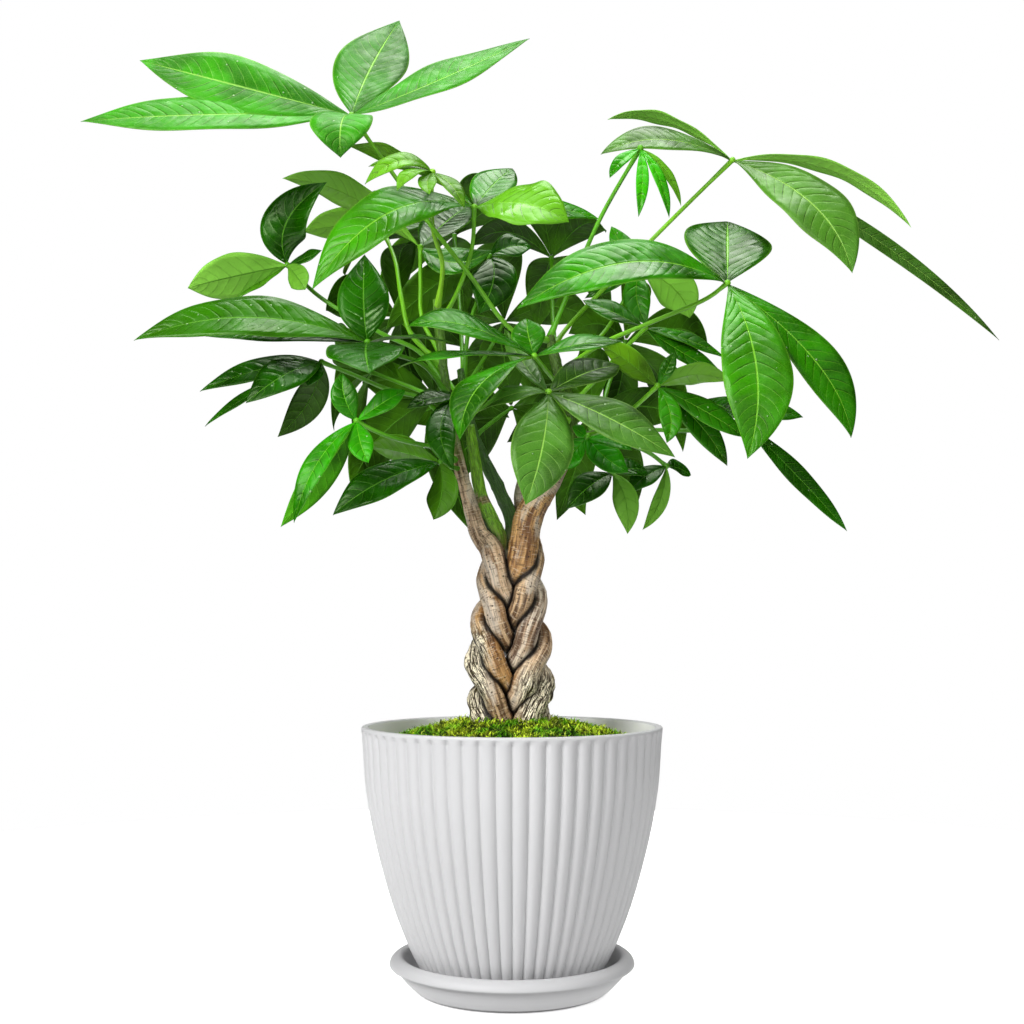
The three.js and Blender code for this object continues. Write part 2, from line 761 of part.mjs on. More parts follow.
    blades: [
      { tip: [600, 343, 22], bend: [629, 361, 30], half: 8, face: [180, 40] },
      { tip: [730, 381, 22], bend: [694, 374, 28], half: 8, face: [180, 50] },
      { tip: [745, 437, 32], bend: [711, 414, 36], half: 8, face: [0, 35] },
      { tip: [728, 466, 18], bend: [700, 424, 24], half: 8, face: [0, 25] },
      { tip: [667, 443, 46], bend: [671, 415, 44], half: 6, face: [0, 20] },
      { tip: [675, 352, 34], bend: [668, 368, 36], half: 4, face: [0, 20] },
    ],
  },
  {
    name: "leaf_20",
    color: DEEP,
    stem: [5, 308],
    hub: [742, 420, -14],
    petiole: [[700, 430, -16], [655, 430, -20]],
    blades: [
      { tip: [804, 417, -20], bend: [772, 412, -16], half: 8, face: [0, 40] },
      { tip: [848, 531, -8], bend: [800, 478, -8], half: 7, face: [0, 38] },
      { tip: [760, 350, -70], bend: [752, 385, -42], half: 12, face: [0, 30] },
      { tip: [700, 400, -84], bend: [720, 405, -48], half: 12, face: [0, 30] },
    ],
  },
  {
    name: "leaf_21",
    color: FRESH,
    stem: [5, 302],
    hub: [588, 437, 40],
    petiole: [[586, 440, 18]],
    blades: [
      { tip: [573, 427, 44], bend: [580, 431, 42], half: 3.5, face: [0, 20] },
      { tip: [633, 450, 58], bend: [611, 440, 54], half: 6, face: [0, 45] },
      { tip: [630, 472, 48], bend: [606, 457, 46], half: 9, face: [0, 40] },
      { tip: [562, 470, 30], bend: [572, 454, 36], half: 7, face: [0, 20] },
    ],
  },
  {
    name: "leaf_22",
    color: DEEP,
    stem: [5, 304],
    hub: [613, 473, 12],
    petiole: [[609, 455, -6]],
    blades: [
      { tip: [567, 509, 24], bend: [590, 486, 22], half: 9, face: [0, 35] },
      { tip: [628, 534, 20], bend: [626, 500, 20], half: 7, face: [170, 10] },
      { tip: [648, 470, -4], bend: [632, 468, 4], half: 8, face: [0, 40] },
    ],
  },
  {
    name: "leaf_23",
    color: DEEP,
    stem: [5, 301],
    hub: [667, 466, -12],
    petiole: [[648, 452, -14], [618, 442, -22]],
    blades: [
      { tip: [628, 493, 2], bend: [646, 476, -2], half: 7, face: [0, 40] },
      { tip: [643, 530, -8], bend: [661, 500, -8], half: 4.5, face: [160, 10] },
      { tip: [692, 475, -24], bend: [680, 468, -18], half: 7, face: [0, 40] },
    ],
  },
  {
    name: "leaf_24",
    color: DEEP,
    stem: [4, 338],
    hub: [490, 256, -44],
    petiole: [[482, 290, -42], [470, 325, -40]],
    blades: [
      { tip: [386, 330, -30], bend: [437, 284, -38], half: 13, face: [180, 35] },
      { tip: [479, 314, -22], bend: [494, 280, -30], half: 14, face: [0, 15] },
      { tip: [532, 248, -50], bend: [512, 246, -46], half: 10, face: [0, 35] },
    ],
  },
];

// The leaves behind, which the picture hides. axis is where the whorl faces: see facingOf.
const REAR_LEAVES = [
  { hub: [455, 236, -150], axis: [200, 50], length: 68, stem: [4, 336] },
  { hub: [552, 258, -112], axis: [155, 60], length: 64, stem: [1, 342] },
  { hub: [400, 318, -122], axis: [230, 25], length: 72, stem: [4, 323] },
  { hub: [626, 342, -118], axis: [130, 20], length: 66, stem: [5, 311] },
  { hub: [505, 322, -196], axis: [182, 30], length: 76, stem: [4, 334] },
  { hub: [436, 398, -136], axis: [215, 0], length: 74, stem: [4, 314] },
  { hub: [592, 414, -128], axis: [150, -5], length: 72, stem: [5, 306] },
  { hub: [512, 408, -178], axis: [180, 0], length: 76, stem: [4, 306] },
  { hub: [372, 372, -72], axis: [255, 10], length: 60, stem: [4, 320] },
];

const REAR_BLADE_COUNT = 5;

// Shares of a rear blade's reach: how far its bend and its tip stand out from the hub and forward along
// the whorl's axis, how far the tip hangs, and half its width. The petiole bends back at its elbow.
const REAR_BEND = { out: 0.5, forward: 0.16 };
const REAR_TIP = { out: 0.9, forward: 0.08, down: 0.22 };
const REAR_HALF = 0.2;
const REAR_ELBOW_BACK = 4;

// A repeatable draw between 0 and 1.
function draw(seed) {
  const value = Math.sin(seed * 12.9898 + 4.1414) * 43758.5453;
  return value - Math.floor(value);
}

// A whorl whose blades spread round its axis, arch and hang.
function rearLeaf({ hub, axis, length, stem }, index) {
  const centre = seen(hub);
  const facing = facingOf(axis);
  const level = new THREE.Vector3(0, 0, 1).cross(facing).normalize();
  const rise = facing.clone().cross(level);
  const blades = Array.from({ length: REAR_BLADE_COUNT }, (_, i) => {
    const seed = index * REAR_BLADE_COUNT + i;
    const angle = (2 * Math.PI * (i + 0.5 * draw(seed))) / REAR_BLADE_COUNT;
    const reach = length * (0.82 + 0.3 * draw(seed + 0.5));
    const outward = level.clone().multiplyScalar(Math.cos(angle)).addScaledVector(rise, Math.sin(angle));
    const placed = ({ out, forward }) =>
      centre.clone().addScaledVector(outward, reach * out).addScaledVector(facing, reach * forward);
    const tip = placed(REAR_TIP);
    tip.z -= reach * REAR_TIP.down;
    return { tip, bend: placed(REAR_BEND), half: reach * REAR_HALF, facing };
  });
  const root = onStem(...stem);
  const elbow = centre.clone().lerp(root, 0.5).addScaledVector(facing, -REAR_ELBOW_BACK);
  const name = "leaf_" + (LEAVES.length + 1 + index);
  return { name, color: DEEP, hub: centre, petiole: [elbow, root], blades };
}

function placedLeaf({ name, color, stem, hub, petiole, blades }) {
  return {
    name,
    color,
    hub: seen(hub),
    petiole: [...petiole.map(seen), onStem(...stem)],
    blades: blades.map(({ tip, bend, half, face }) => {
      return { tip: seen(tip), bend: seen(bend), half, facing: facingOf(face) };
    }),
  };
}

// Assembly

const stemClearance = union(STEMS.map((stem) => stemBody(stem, GAP)));
const stems = new THREE.Group();
STEMS.forEach(({ name, color }, index) => stems.add(meshOf(name, pressedStem(index), color, 0.85)));

const foliage = new THREE.Group();
for (const leaf of [...LEAVES.map(placedLeaf), ...REAR_LEAVES.map(rearLeaf)]) {
  foliage.add(meshOf(leaf.name, largest(leafBody(leaf).subtract(stemClearance)), leaf.color, 0.4));
}

const planter = new THREE.Group();
planter.add(meshOf("saucer", saucerBody(), "#e4e4e4", 0.5));
planter.add(meshOf("pot", potBody(), "#e2e2e2", 0.5));
planter.add(meshOf("soil", soilBody().subtract(stemClearance), "#3a2a1e", 0.95));
planter.add(meshOf("moss", mossBody().subtract(stemClearance), "#9cae1c", 0.9));

const moneyTree = new THREE.Group();
moneyTree.add(planter, stems, foliage);

export default moneyTree;
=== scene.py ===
"""The looks of a potted money tree: braided bark, veined palmate leaves, moss and a ribbed pot on a saucer.

Lengths are in millimetres until a mesh is made, and +Z is up. The pot's axis is the Z axis.
"""

import math
from collections import namedtuple

import bpy
import numpy as np
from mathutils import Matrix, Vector, noise


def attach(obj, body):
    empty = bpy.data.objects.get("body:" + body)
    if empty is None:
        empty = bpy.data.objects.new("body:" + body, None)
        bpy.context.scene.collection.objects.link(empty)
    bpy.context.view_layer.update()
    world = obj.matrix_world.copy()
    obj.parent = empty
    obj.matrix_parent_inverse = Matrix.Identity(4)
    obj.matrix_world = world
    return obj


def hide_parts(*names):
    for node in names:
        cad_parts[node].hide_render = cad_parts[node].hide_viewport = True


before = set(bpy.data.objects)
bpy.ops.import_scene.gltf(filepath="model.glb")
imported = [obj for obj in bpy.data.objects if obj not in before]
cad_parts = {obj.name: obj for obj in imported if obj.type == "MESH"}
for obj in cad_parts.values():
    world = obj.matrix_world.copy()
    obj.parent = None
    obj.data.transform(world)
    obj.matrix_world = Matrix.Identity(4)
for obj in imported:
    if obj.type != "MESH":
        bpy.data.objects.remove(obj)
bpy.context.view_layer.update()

MM = 0.001
TURN = 2 * math.pi
UP = np.array([0, 0, 1])

# The photograph's camera, in millimetres, degrees and pixels of its 1024 pixel frame.
CAMERA_DISTANCE = 821
CAMERA_HEIGHT = 203.5
CAMERA_PITCH = math.radians(3.957)
FOCAL_PIXELS = 1479
CENTRE_X = 512.5
CENTRE_Y = 512
FRAME_PIXELS = 1024
SENSOR_MM = 36

# Pot and saucer. A z with two values is where a change starts and where it is complete.
GAP = 0.35
RIBS = 60
RIB_DEPTH = 2.2
RIB_COLUMNS = 12
RIB_GROWTH_Z = (5.5, 11.5)
RIB_END_Z = (140.8, 138.2)
RIB_SHARPNESS = 0.8
POT_WALL = 4
POT_FOOT_Z = 4.2
POT_FLOOR_Z = 8.2
POT_RIM_Z = 142.4
RIM_ROUNDING = 0.9
FINE_RINGS_Z = 137.2
DRAIN_RADIUS = 6
POT_PROFILE = [
    (4.2, 44), (14.5, 51.2), (34, 60.3), (70, 72), (110, 80.1), (137.4, 82.3), (140.4, 82.6), (142.4, 82.6)
]
SAUCER_FLOOR_Z = POT_FOOT_Z - GAP
# The saucer turns to its lighter colour, painted light, from the first height down to the second.
SAUCER_PAINTED_LIGHT_Z = (12, 8)
SAUCER_ROUNDING = 1.6
SAUCER_SEGMENTS = 144
CENTRE_RING = 0.5
SAUCER_PROFILE = [
    (CENTRE_RING, 0), (49.2, 0), (51.8, 0.8), (56.8, 5.2), (61.2, 10), (63, 13.6), (66.2, 13.8), (66.8, 15),
    (65.6, 17.6), (63, 19.3), (60.8, 19.7), (59, 18.8), (55.5, 12), (50.5, 5.2), (47.5, SAUCER_FLOOR_Z),
    (CENTRE_RING, SAUCER_FLOOR_Z),
]

# Moss
MOSS_CROWN_Z = 145.5
MOSS_DROP = 16
MOSS_THICKNESS = 5
MOSS_BUMP = 0.9
MOSS_RADIUS = 75.9
MOSS_SEGMENTS = 120
MOSS_RINGS = 52
MOSS_ROLL = 0.6
MOSS_MARGIN = 3.2

# Tufts on the moss. A pair is the least value and what a random draw adds to it.
TUFTS = 17000
TUFT_SEED = 5
TUFT_LEAN = (0.25, 0.9)
TUFT_HEIGHT = (1.4, 3.6)
TUFT_HALF = (0.28, 0.22)
TUFT_ROOT = 0.5
TUFT_CLEAR = 1.5

# Braid
STEM_FOOT_Z = 118
BRAID_START_Z = MOSS_CROWN_Z - 2
BRAID_CYCLE = 116.7
BRAID_CROSSING_Z = 221
BRAID_SHIFT = -0.8
BRAID_WIDTH = [(118, 15), (146, 15.6), (184, 17.8), (212, 14.8), (240, 12.8)]
STRAND_RADIUS = [(118, 5.9), (184, 6), (240, 5.6)]
BRAID_DEPTH = 9.6
SWELL_Z = (208, 238)
FRONT_DELAY = 0.3
DIVE_HASTE = 0.5
BRAID_STEP = 6

# Bark
STEM_SIDES = 28
STEM_RING = 1.3
BARK_SEED_STEP = 7.3
ROUGH_LEFT_Z = (202, 190)
ROUGH_LEFT_X = (-11, -16)
ROUGH_RIGHT_Z = (180, 166)
ROUGH_RIGHT_X = (1, 7)
GREENING = 22
SCARRED_STEM = "stem_3"
SCAR_Z = 267.5
SCAR_HALF = 2.2
SCAR_GREEN = 0.15
CREVICE_REACH = 3.1
CREVICE_SAMPLES = 6

# Blades
BLADE_ROWS = 44
BLADE_COLUMNS = 5
COLUMN_CROWDING = 1.25
BLADE_THICKNESS = 0.55
MARGIN_THINNING = 0.5
BLADE_FOLD = 0.12
MARGIN_DROOP = 0.05
RIPPLE = 0.055
QUILTING = 0.008
QUILT_POWER = 0.6
GROOVE_DEPTH = 0.3
GROOVE_WIDTH = 0.8
MIDRIB_DEPTH = 0.5
MIDRIB_WIDTH = 0.9
ROOT_START = 1.2
BROAD_HALF = 14
BROAD_OUTLINE = (1.2, 1.15)
SLIM_OUTLINE = (1.12, 1.08)
VEIN_SPACING = 6.6
VEINS_LEAST = 6
VEIN_LEAN = 0.5
VEIN_CURL = 0.35

# Stalks: a petiole's radius at shares of its length from the hub, and the knob at the hub.
STALK_RADIUS = [(0, 1.5), (0.04, 1.4), (0.1, 1.15), (0.86, 1.35), (0.95, 1.9), (1, 2.2)]
STALK_RINGS = 30
STALK_SIDES = 10
KNOB_RADIUS = 1.8
KNOB_RINGS = 8
KNOB_SIDES = 12
KNOB_POLE = 0.001

# Numbers of a leaf's materials
UPPER, UNDER, STALK = 0, 1, 2


def seen(point):
    """A point of the picture, as (pixel x, pixel y, depth toward the viewer), in millimetres."""
    px, py, depth = point
    right = (px - CENTRE_X) / FOCAL_PIXELS
    up = (CENTRE_Y - py) / FOCAL_PIXELS
    forward = math.cos(CAMERA_PITCH) - up * math.sin(CAMERA_PITCH)
    rise = math.sin(CAMERA_PITCH) + up * math.cos(CAMERA_PITCH)
    scale = (CAMERA_DISTANCE - depth) / forward
    return np.array([right * scale, -depth, CAMERA_HEIGHT + rise * scale])


def between(table, place):
    """Reads a table of (place, value) rows between its rows."""
    places, values = zip(*table)
    return np.interp(place, places, values)


def part_way(value, start, end):
    """How far a value has come from start to end, held between 0 and 1."""
    return np.clip((value - start) / (end - start), 0, 1)


def unit(vector):
    return vector / np.linalg.norm(vector, axis=-1, keepdims=True)


def turns(count):
    """Angles at equal steps round a full turn."""
    return np.linspace(0, TURN, count, endpoint=False)


def lengths_along(points):
    """The length along a path at each of its points."""
    return np.concatenate([[0], np.cumsum(np.linalg.norm(np.diff(points, axis=0), axis=1))])


def draw(seed):
    """A repeatable draw between 0 and 1: the sine hash that shaders use."""
    value = math.sin(seed * 12.9898 + 4.1414) * 43758.5453
    return value - math.floor(value)


def smooth_path(points, count):
    """Points along a centripetal Catmull-Rom curve through the given ones."""
    points = [np.asarray(p, float) for p in points]
    points = [2 * points[0] - points[1], *points, 2 * points[-1] - points[-2]]
    spans = len(points) - 3
    made = []
    for i in np.linspace(0, spans, count):
        k = min(int(i), spans - 1)
        p = points[k : k + 4]
        t = np.cumsum([0] + [math.sqrt(np.linalg.norm(b - a)) for a, b in zip(p, p[1:])])
        u = t[1] + (i - k) * (t[2] - t[1])

        def mix(a, b, low, high):
            return (a * (t[high] - u) + b * (u - t[low])) / (t[high] - t[low])

        a = [mix(p[j], p[j + 1], j, j + 1) for j in range(3)]
        b = [mix(a[j], a[j + 1], j, j + 2) for j in range(2)]
        made.append(mix(b[0], b[1], 1, 2))
    return np.array(made)


# Meshes


def add_object(name, data):
    made = bpy.data.objects.new(name, data)
    bpy.context.scene.collection.objects.link(made)
    return made


def set_mark(mesh, name, vectors):
    """Gives each vertex a named vector, which the materials read."""
    mark = mesh.attributes.new(name, "FLOAT_VECTOR", "POINT")
    mark.data.foreach_set("vector", vectors.ravel())


class Builder:
    """Gathers vertices, faces and per-vertex vectors, and makes one smooth-shaded object of them."""

    def __init__(self):
        self.points, self.faces, self.marks, self.slots = [], [], [], []
        self.count = 0

    def add(self, points, marks, *groups, slot=0):
        """Adds vertices, and groups of faces that count them from 0."""
        points = np.asarray(points, float)
        self.points.append(points.reshape(-1, 3))
        self.marks.append(np.broadcast_to(marks, points.shape).reshape(-1, 3))
        for faces in groups:
            self.join(faces + self.count, slot)
        self.count += points.size // 3

    def join(self, faces, slot=0):
        """Adds faces between vertices that are in already."""
        self.faces.append(faces)
        self.slots.append(np.full(len(faces), slot))

    def make(self, name, materials, mark_name):
        mesh = bpy.data.meshes.new(name)
        faces = [face for group in self.faces for face in group.tolist()]
        mesh.from_pydata((np.concatenate(self.points) * MM).tolist(), [], faces)
        mesh.polygons.foreach_set("material_index", np.concatenate(self.slots))
        mesh.shade_smooth()
        set_mark(mesh, mark_name, np.concatenate(self.marks))
        mesh.validate()
        for material in materials:
            mesh.materials.append(material)
        return add_object(name, mesh)


def grid_faces(rows, columns, closed=True):
    """Quads of a grid of rows of vertices. A closed grid joins its last column to its first."""
    i, j = np.mgrid[: rows - 1, : columns if closed else columns - 1]
    k = (j + 1) % columns
    quads = [i * columns + j, i * columns + k, (i + 1) * columns + k, (i + 1) * columns + j]
    return np.stack(quads, -1).reshape(-1, 4)


def cap_faces(rows, columns):
    """Fans that close both ends of a closed grid, whose vertices are followed by each end's centre."""
    j, k = np.arange(columns), (np.arange(columns) + 1) % columns
    first = np.stack([k, j, np.full(columns, rows * columns)], -1)
    last = np.stack([j, k, np.full(columns, columns + 1)], -1) + (rows - 1) * columns
    return np.concatenate([first, last])


def lathe(profile, segments):
    """A ring of points round the Z axis for each (radius, z) of a profile, and the quads between them."""
    rings = [[(r * math.cos(a), r * math.sin(a), z) for a in turns(segments)] for r, z in profile]
    return np.array(rings).reshape(-1, 3), grid_faces(len(profile), segments)


def tube(path, radii, sides, bulge=None):
    """Rings round a path and a centre for each end, marks that hold (x, y) across the path and the length
    along it, and the faces of sides and caps. bulge gives how far a ring's points stand out."""
    tangents, lengths = unit(np.gradient(path, axis=0)), lengths_along(path)
    normal = np.array([0, -1, 0])
    angles = turns(sides)
    cosine, sine = np.cos(angles), np.sin(angles)
    points, marks = [], []
    for centre, tangent, radius, length in zip(path, tangents, radii, lengths):
        normal = unit(normal - tangent * normal.dot(tangent))
        around = cosine[:, None] * normal + sine[:, None] * np.cross(tangent, normal)
        swell = bulge(angles, length) if bulge else np.zeros(sides)
        points.append(centre + around * (radius + swell)[:, None])
        marks.append(np.stack([radius * cosine, radius * sine, np.full(sides, length)], -1))
    points = np.concatenate([*points, path[:1], path[-1:]])
    marks = np.concatenate([*marks, [[0, 0, 0], [0, 0, lengths[-1]]]])
    return points, marks, grid_faces(len(path), sides), cap_faces(len(path), sides)


# Materials


def srgb(red, green, blue):
    """A displayed colour, 0 to 255, as linear values."""
    shares = [v / 255 for v in (red, green, blue)]
    return (*[(s / 12.92 if s <= 0.04045 else ((s + 0.055) / 1.055) ** 2.4) for s in shares], 1)


def toned(colour, factor):
    """A linear colour made darker or lighter, and at most full."""
    return (*[min(1, c * factor) for c in colour[:3]], 1)


class Graph:
    """A material's nodes, made by short calls that return sockets."""

    def __init__(self, name, shine=0.4, gloss_tint=(1, 1, 1, 1)):
        self.material = bpy.data.materials.new(name)
        self.material.use_nodes = True
        self.tree = self.material.node_tree
        self.shader = self.tree.nodes["Principled BSDF"]
        self.look("Specular IOR Level", shine)
        self.look("Specular Tint", gloss_tint)

    def node(self, kind, inputs, output=0, **settings):
        made = self.tree.nodes.new("ShaderNode" + kind)
        for name, value in settings.items():
            setattr(made, name, value)
        for key, value in inputs.items():
            self.put(made.inputs[key], value)
        return made.outputs[output]

    def put(self, socket, value):
        if isinstance(value, bpy.types.NodeSocket):
            self.tree.links.new(value, socket)
        else:
            socket.default_value = value

    def look(self, name, value):
        self.put(self.shader.inputs[name], value)

    def math(self, operation, a, b=0):
        return self.node("Math", {0: a, 1: b}, operation=operation)

    def plus(self, a, b):
        return self.math("ADD", a, b)

    def times(self, a, b):
        return self.math("MULTIPLY", a, b)

    def waves(self, phase):
        """0 where the phase is a whole number, and round crests of 1 halfway between."""
        return self.math("ABSOLUTE", self.math("SINE", self.times(phase, math.pi)))

    def step(self, value, low, high, start=0, end=1):
        """A smooth change from start to end while the value goes from low to high."""
        inputs = {"Value": value, "From Min": low, "From Max": high, "To Min": start, "To Max": end}
        return self.node("MapRange", inputs, interpolation_type="SMOOTHSTEP")

    def ramp(self, value, low, high):
        """An even change from 0 to 1."""
        return self.node("MapRange", {"Value": value, "From Min": low, "From Max": high})

    def mix(self, factor, a, b):
        return self.node("Mix", {0: factor, 6: a, 7: b}, 2, data_type="RGBA")

    def noise(self, vector, scale, detail=3):
        return self.node("TexNoise", {"Vector": vector, "Scale": scale, "Detail": detail})

    def cells(self, vector, scale):
        """The distance to the nearest border of a pattern of cells."""
        inputs = {"Vector": vector, "Scale": scale}
        return self.node("TexVoronoi", inputs, feature="DISTANCE_TO_EDGE")

    def drops(self, vector, scale, radius, share):
        """Round spots, 1 inside and 0 outside, in a share of the cells of a scattered pattern."""
        inputs = {"Vector": vector, "Scale": scale}
        near = self.node("TexVoronoi", inputs)
        picked = self.split(self.node("TexVoronoi", inputs, 1))[0]
        picked = self.step(picked, 1 - share, 1.01 - share)
        return self.times(picked, self.step(near, radius, 0.6 * radius))

    def attribute(self, name):
        return self.node("Attribute", {}, "Vector", attribute_name=name)

    def split(self, vector):
        return self.node("SeparateXYZ", {0: vector}, slice(None))

    def scaled(self, vector, factors):
        return self.node("VectorMath", {0: vector, 1: factors}, operation="MULTIPLY")

    def place(self):
        return self.node("TexCoord", {}, "Object")

    def finish(self, colour, roughness, height, distance, strength=1):
        self.look("Base Color", colour)
        self.look("Roughness", roughness)
        inputs = {"Height": height, "Distance": distance, "Strength": strength}
        self.look("Normal", self.node("Bump", inputs))
        return self.material


# Displayed colours of the plastics: where the mark is 0, and where it is 1, a lighter copy that is painted
# light
POT_COLOURS = (204, 204, 205), (238, 238, 238)
SAUCER_COLOURS = (194, 194, 195), (222, 222, 223)
CLOUDINESS = 4


def plastic(name, colour, other):
    """Matte moulded plastic, a little cloudy, with the other colour, a lighter copy standing for painted
    light, where the mark is 1.
    """
    g = Graph(name)
    place = g.place()
    cloud = g.noise(place, 9)
    grain = g.noise(place, 2600, 2)
    tone = g.mix(cloud, srgb(*[c - CLOUDINESS for c in colour]), srgb(*[c + CLOUDINESS for c in colour]))
    # The mark swaps in the lighter colour: painted light.
    tone = g.mix(g.split(g.attribute("painted_light_share"))[0], tone, srgb(*other))
    return g.finish(tone, g.step(cloud, 0.3, 0.7, 0.42, 0.5), grain, 0.00006, 0.5)


SOIL_DARK = srgb(38, 27, 19)
SOIL_LIGHT = srgb(96, 72, 50)


def soil_material():
    g = Graph("soil")
    place = g.place()
    crumbs = g.cells(place, 420)
    tone = g.mix(g.noise(place, 260, 5), SOIL_DARK, SOIL_LIGHT)
    return g.finish(tone, 0.95, crumbs, 0.002)


MOSS_SHADED_ROOTS = srgb(10, 22, 1), srgb(50, 56, 6)
MOSS_TIPS = srgb(116, 200, 6), srgb(230, 255, 58)
MOSS_PALE = srgb(220, 228, 88)
MOSS_PAINTED_SHADE = srgb(28, 44, 2)


def moss_material():
    """Yellow-green moss, browner and darker low down, partly painted shade, and lighter at the tips, with
    scattered patches of painted shadow. The mark is the share of the way from root to tip and a draw of its
    own for each blade."""
    g = Graph("moss")
    place = g.place()
    rise, own, _ = g.split(g.attribute("moss"))
    patch = g.step(g.noise(place, 70, 3), 0.38, 0.62)
    # Darker near the roots: partly the moss's own browner base, partly painted shade low in the tufts.
    tone = g.mix(g.step(rise, 0.15, 1), g.mix(patch, *MOSS_SHADED_ROOTS), g.mix(patch, *MOSS_TIPS))
    tone = g.mix(g.step(own, 0.86, 1, 0, 0.5), tone, MOSS_PALE)
    # Darker patches scattered by noise: painted shadow between clumps.
    tone = g.mix(g.step(g.noise(place, 210, 2), 0.48, 0.62, 0, 0.85), tone, MOSS_PAINTED_SHADE)
    return g.finish(tone, 0.8, g.noise(place, 900), 0.0004)


BARK_WARM = srgb(178, 128, 74)
BARK_PALE = srgb(232, 220, 202)
BARK_LINE = srgb(62, 42, 26)
BARK_RING = srgb(78, 50, 30)
BARK_CREST = srgb(244, 226, 198)
BARK_DOT = srgb(46, 28, 16)
# Painted shade for the crevices between stems
PAINTED_CREVICE_SHADE = srgb(20, 12, 7)
CORK = srgb(252, 240, 210)
CORK_FURROW = srgb(50, 35, 19)
CORK_SPECK = srgb(70, 66, 30)
LIVING_LIGHT = 1.5


def bark_material(name, shade, light, living):
    """Furrowed bark, with painted shade in the crevices between stems. One mark is (x, y) across the strand
    and the length along it, in millimetres; the other is how green, how rough and how deep in a crevice the
    place is, which sets how much painted shade it gets."""
    g = Graph(name, 0.5)
    strand = g.attribute("strand")
    green, rough, crevice = g.split(g.attribute("wear_and_shade"))

    def grain(across, along, detail, scale=1):
        return g.noise(g.scaled(strand, (across, across, along)), scale, detail)

    long_grain, fine_grain = grain(0.5, 0.05, 6), grain(1.7, 0.2, 5)
    speck, wrinkle = grain(0.9, 1.3, 3), grain(0.16, 1.5, 3)
    patch, warm = grain(0.11, 0.045, 4), grain(0.12, 0.03, 2, 1.7)
    dots = g.drops(g.scaled(strand, (1, 1, 1.5)), 0.34, 0.23, 0.75)
    tone = g.mix(g.step(long_grain, 0.37, 0.61), srgb(*shade), srgb(*light))
    tone = g.mix(g.step(warm, 0.5, 0.68, 0, 0.5), tone, BARK_WARM)
    tone = g.mix(g.step(patch, 0.5, 0.6, 0, 0.55), tone, BARK_PALE)
    tone = g.mix(g.step(fine_grain, 0.55, 0.64, 0, 0.6), tone, BARK_LINE)
    tone = g.mix(g.step(wrinkle, 0.57, 0.64, 0, 0.55), tone, BARK_RING)
    tone = g.mix(g.step(wrinkle, 0.42, 0.35, 0, 0.42), tone, BARK_CREST)
    tone = g.mix(g.times(dots, 0.85), tone, BARK_DOT)
    cork = g.mix(g.step(fine_grain, 0.45, 0.54), CORK, CORK_FURROW)
    cork = g.mix(g.step(speck, 0.54, 0.62, 0, 0.8), cork, CORK_SPECK)
    tone = g.mix(rough, tone, cork)
    lighter = srgb(*[min(255, int(c * LIVING_LIGHT)) for c in living])
    tone = g.mix(green, tone, g.mix(g.step(fine_grain, 0.35, 0.7), srgb(*living), lighter))
    # Painted shade: nearly black where the bark lies close to another stem.
    tone = g.mix(g.step(crevice, 0, 0.72, 0, 0.98), tone, PAINTED_CREVICE_SHADE)
    height = g.plus(g.times(long_grain, 1.2), g.times(fine_grain, 0.9))
    height = g.times(height, g.step(rough, 0, 1, 0.55, 1))
    height = g.math("SUBTRACT", height, g.times(g.plus(wrinkle, dots), 0.5))
    return g.finish(tone, g.step(long_grain, 0.3, 0.7, 0.3, 0.5), height, 0.0011)


LIME_AND_LIGHT_UPPER = srgb(100, 172, 30)
LIME_AND_LIGHT_UNDER = srgb(148, 222, 80)
BLADE_PAINTED_SHADE = srgb(12, 36, 2)
BLADE_LIGHT = 1.6
DROP_GLINT = srgb(190, 228, 168)
LEAF_GLOSS = (0.72, 1, 0.5, 1)
STALK_DARK = 0.7


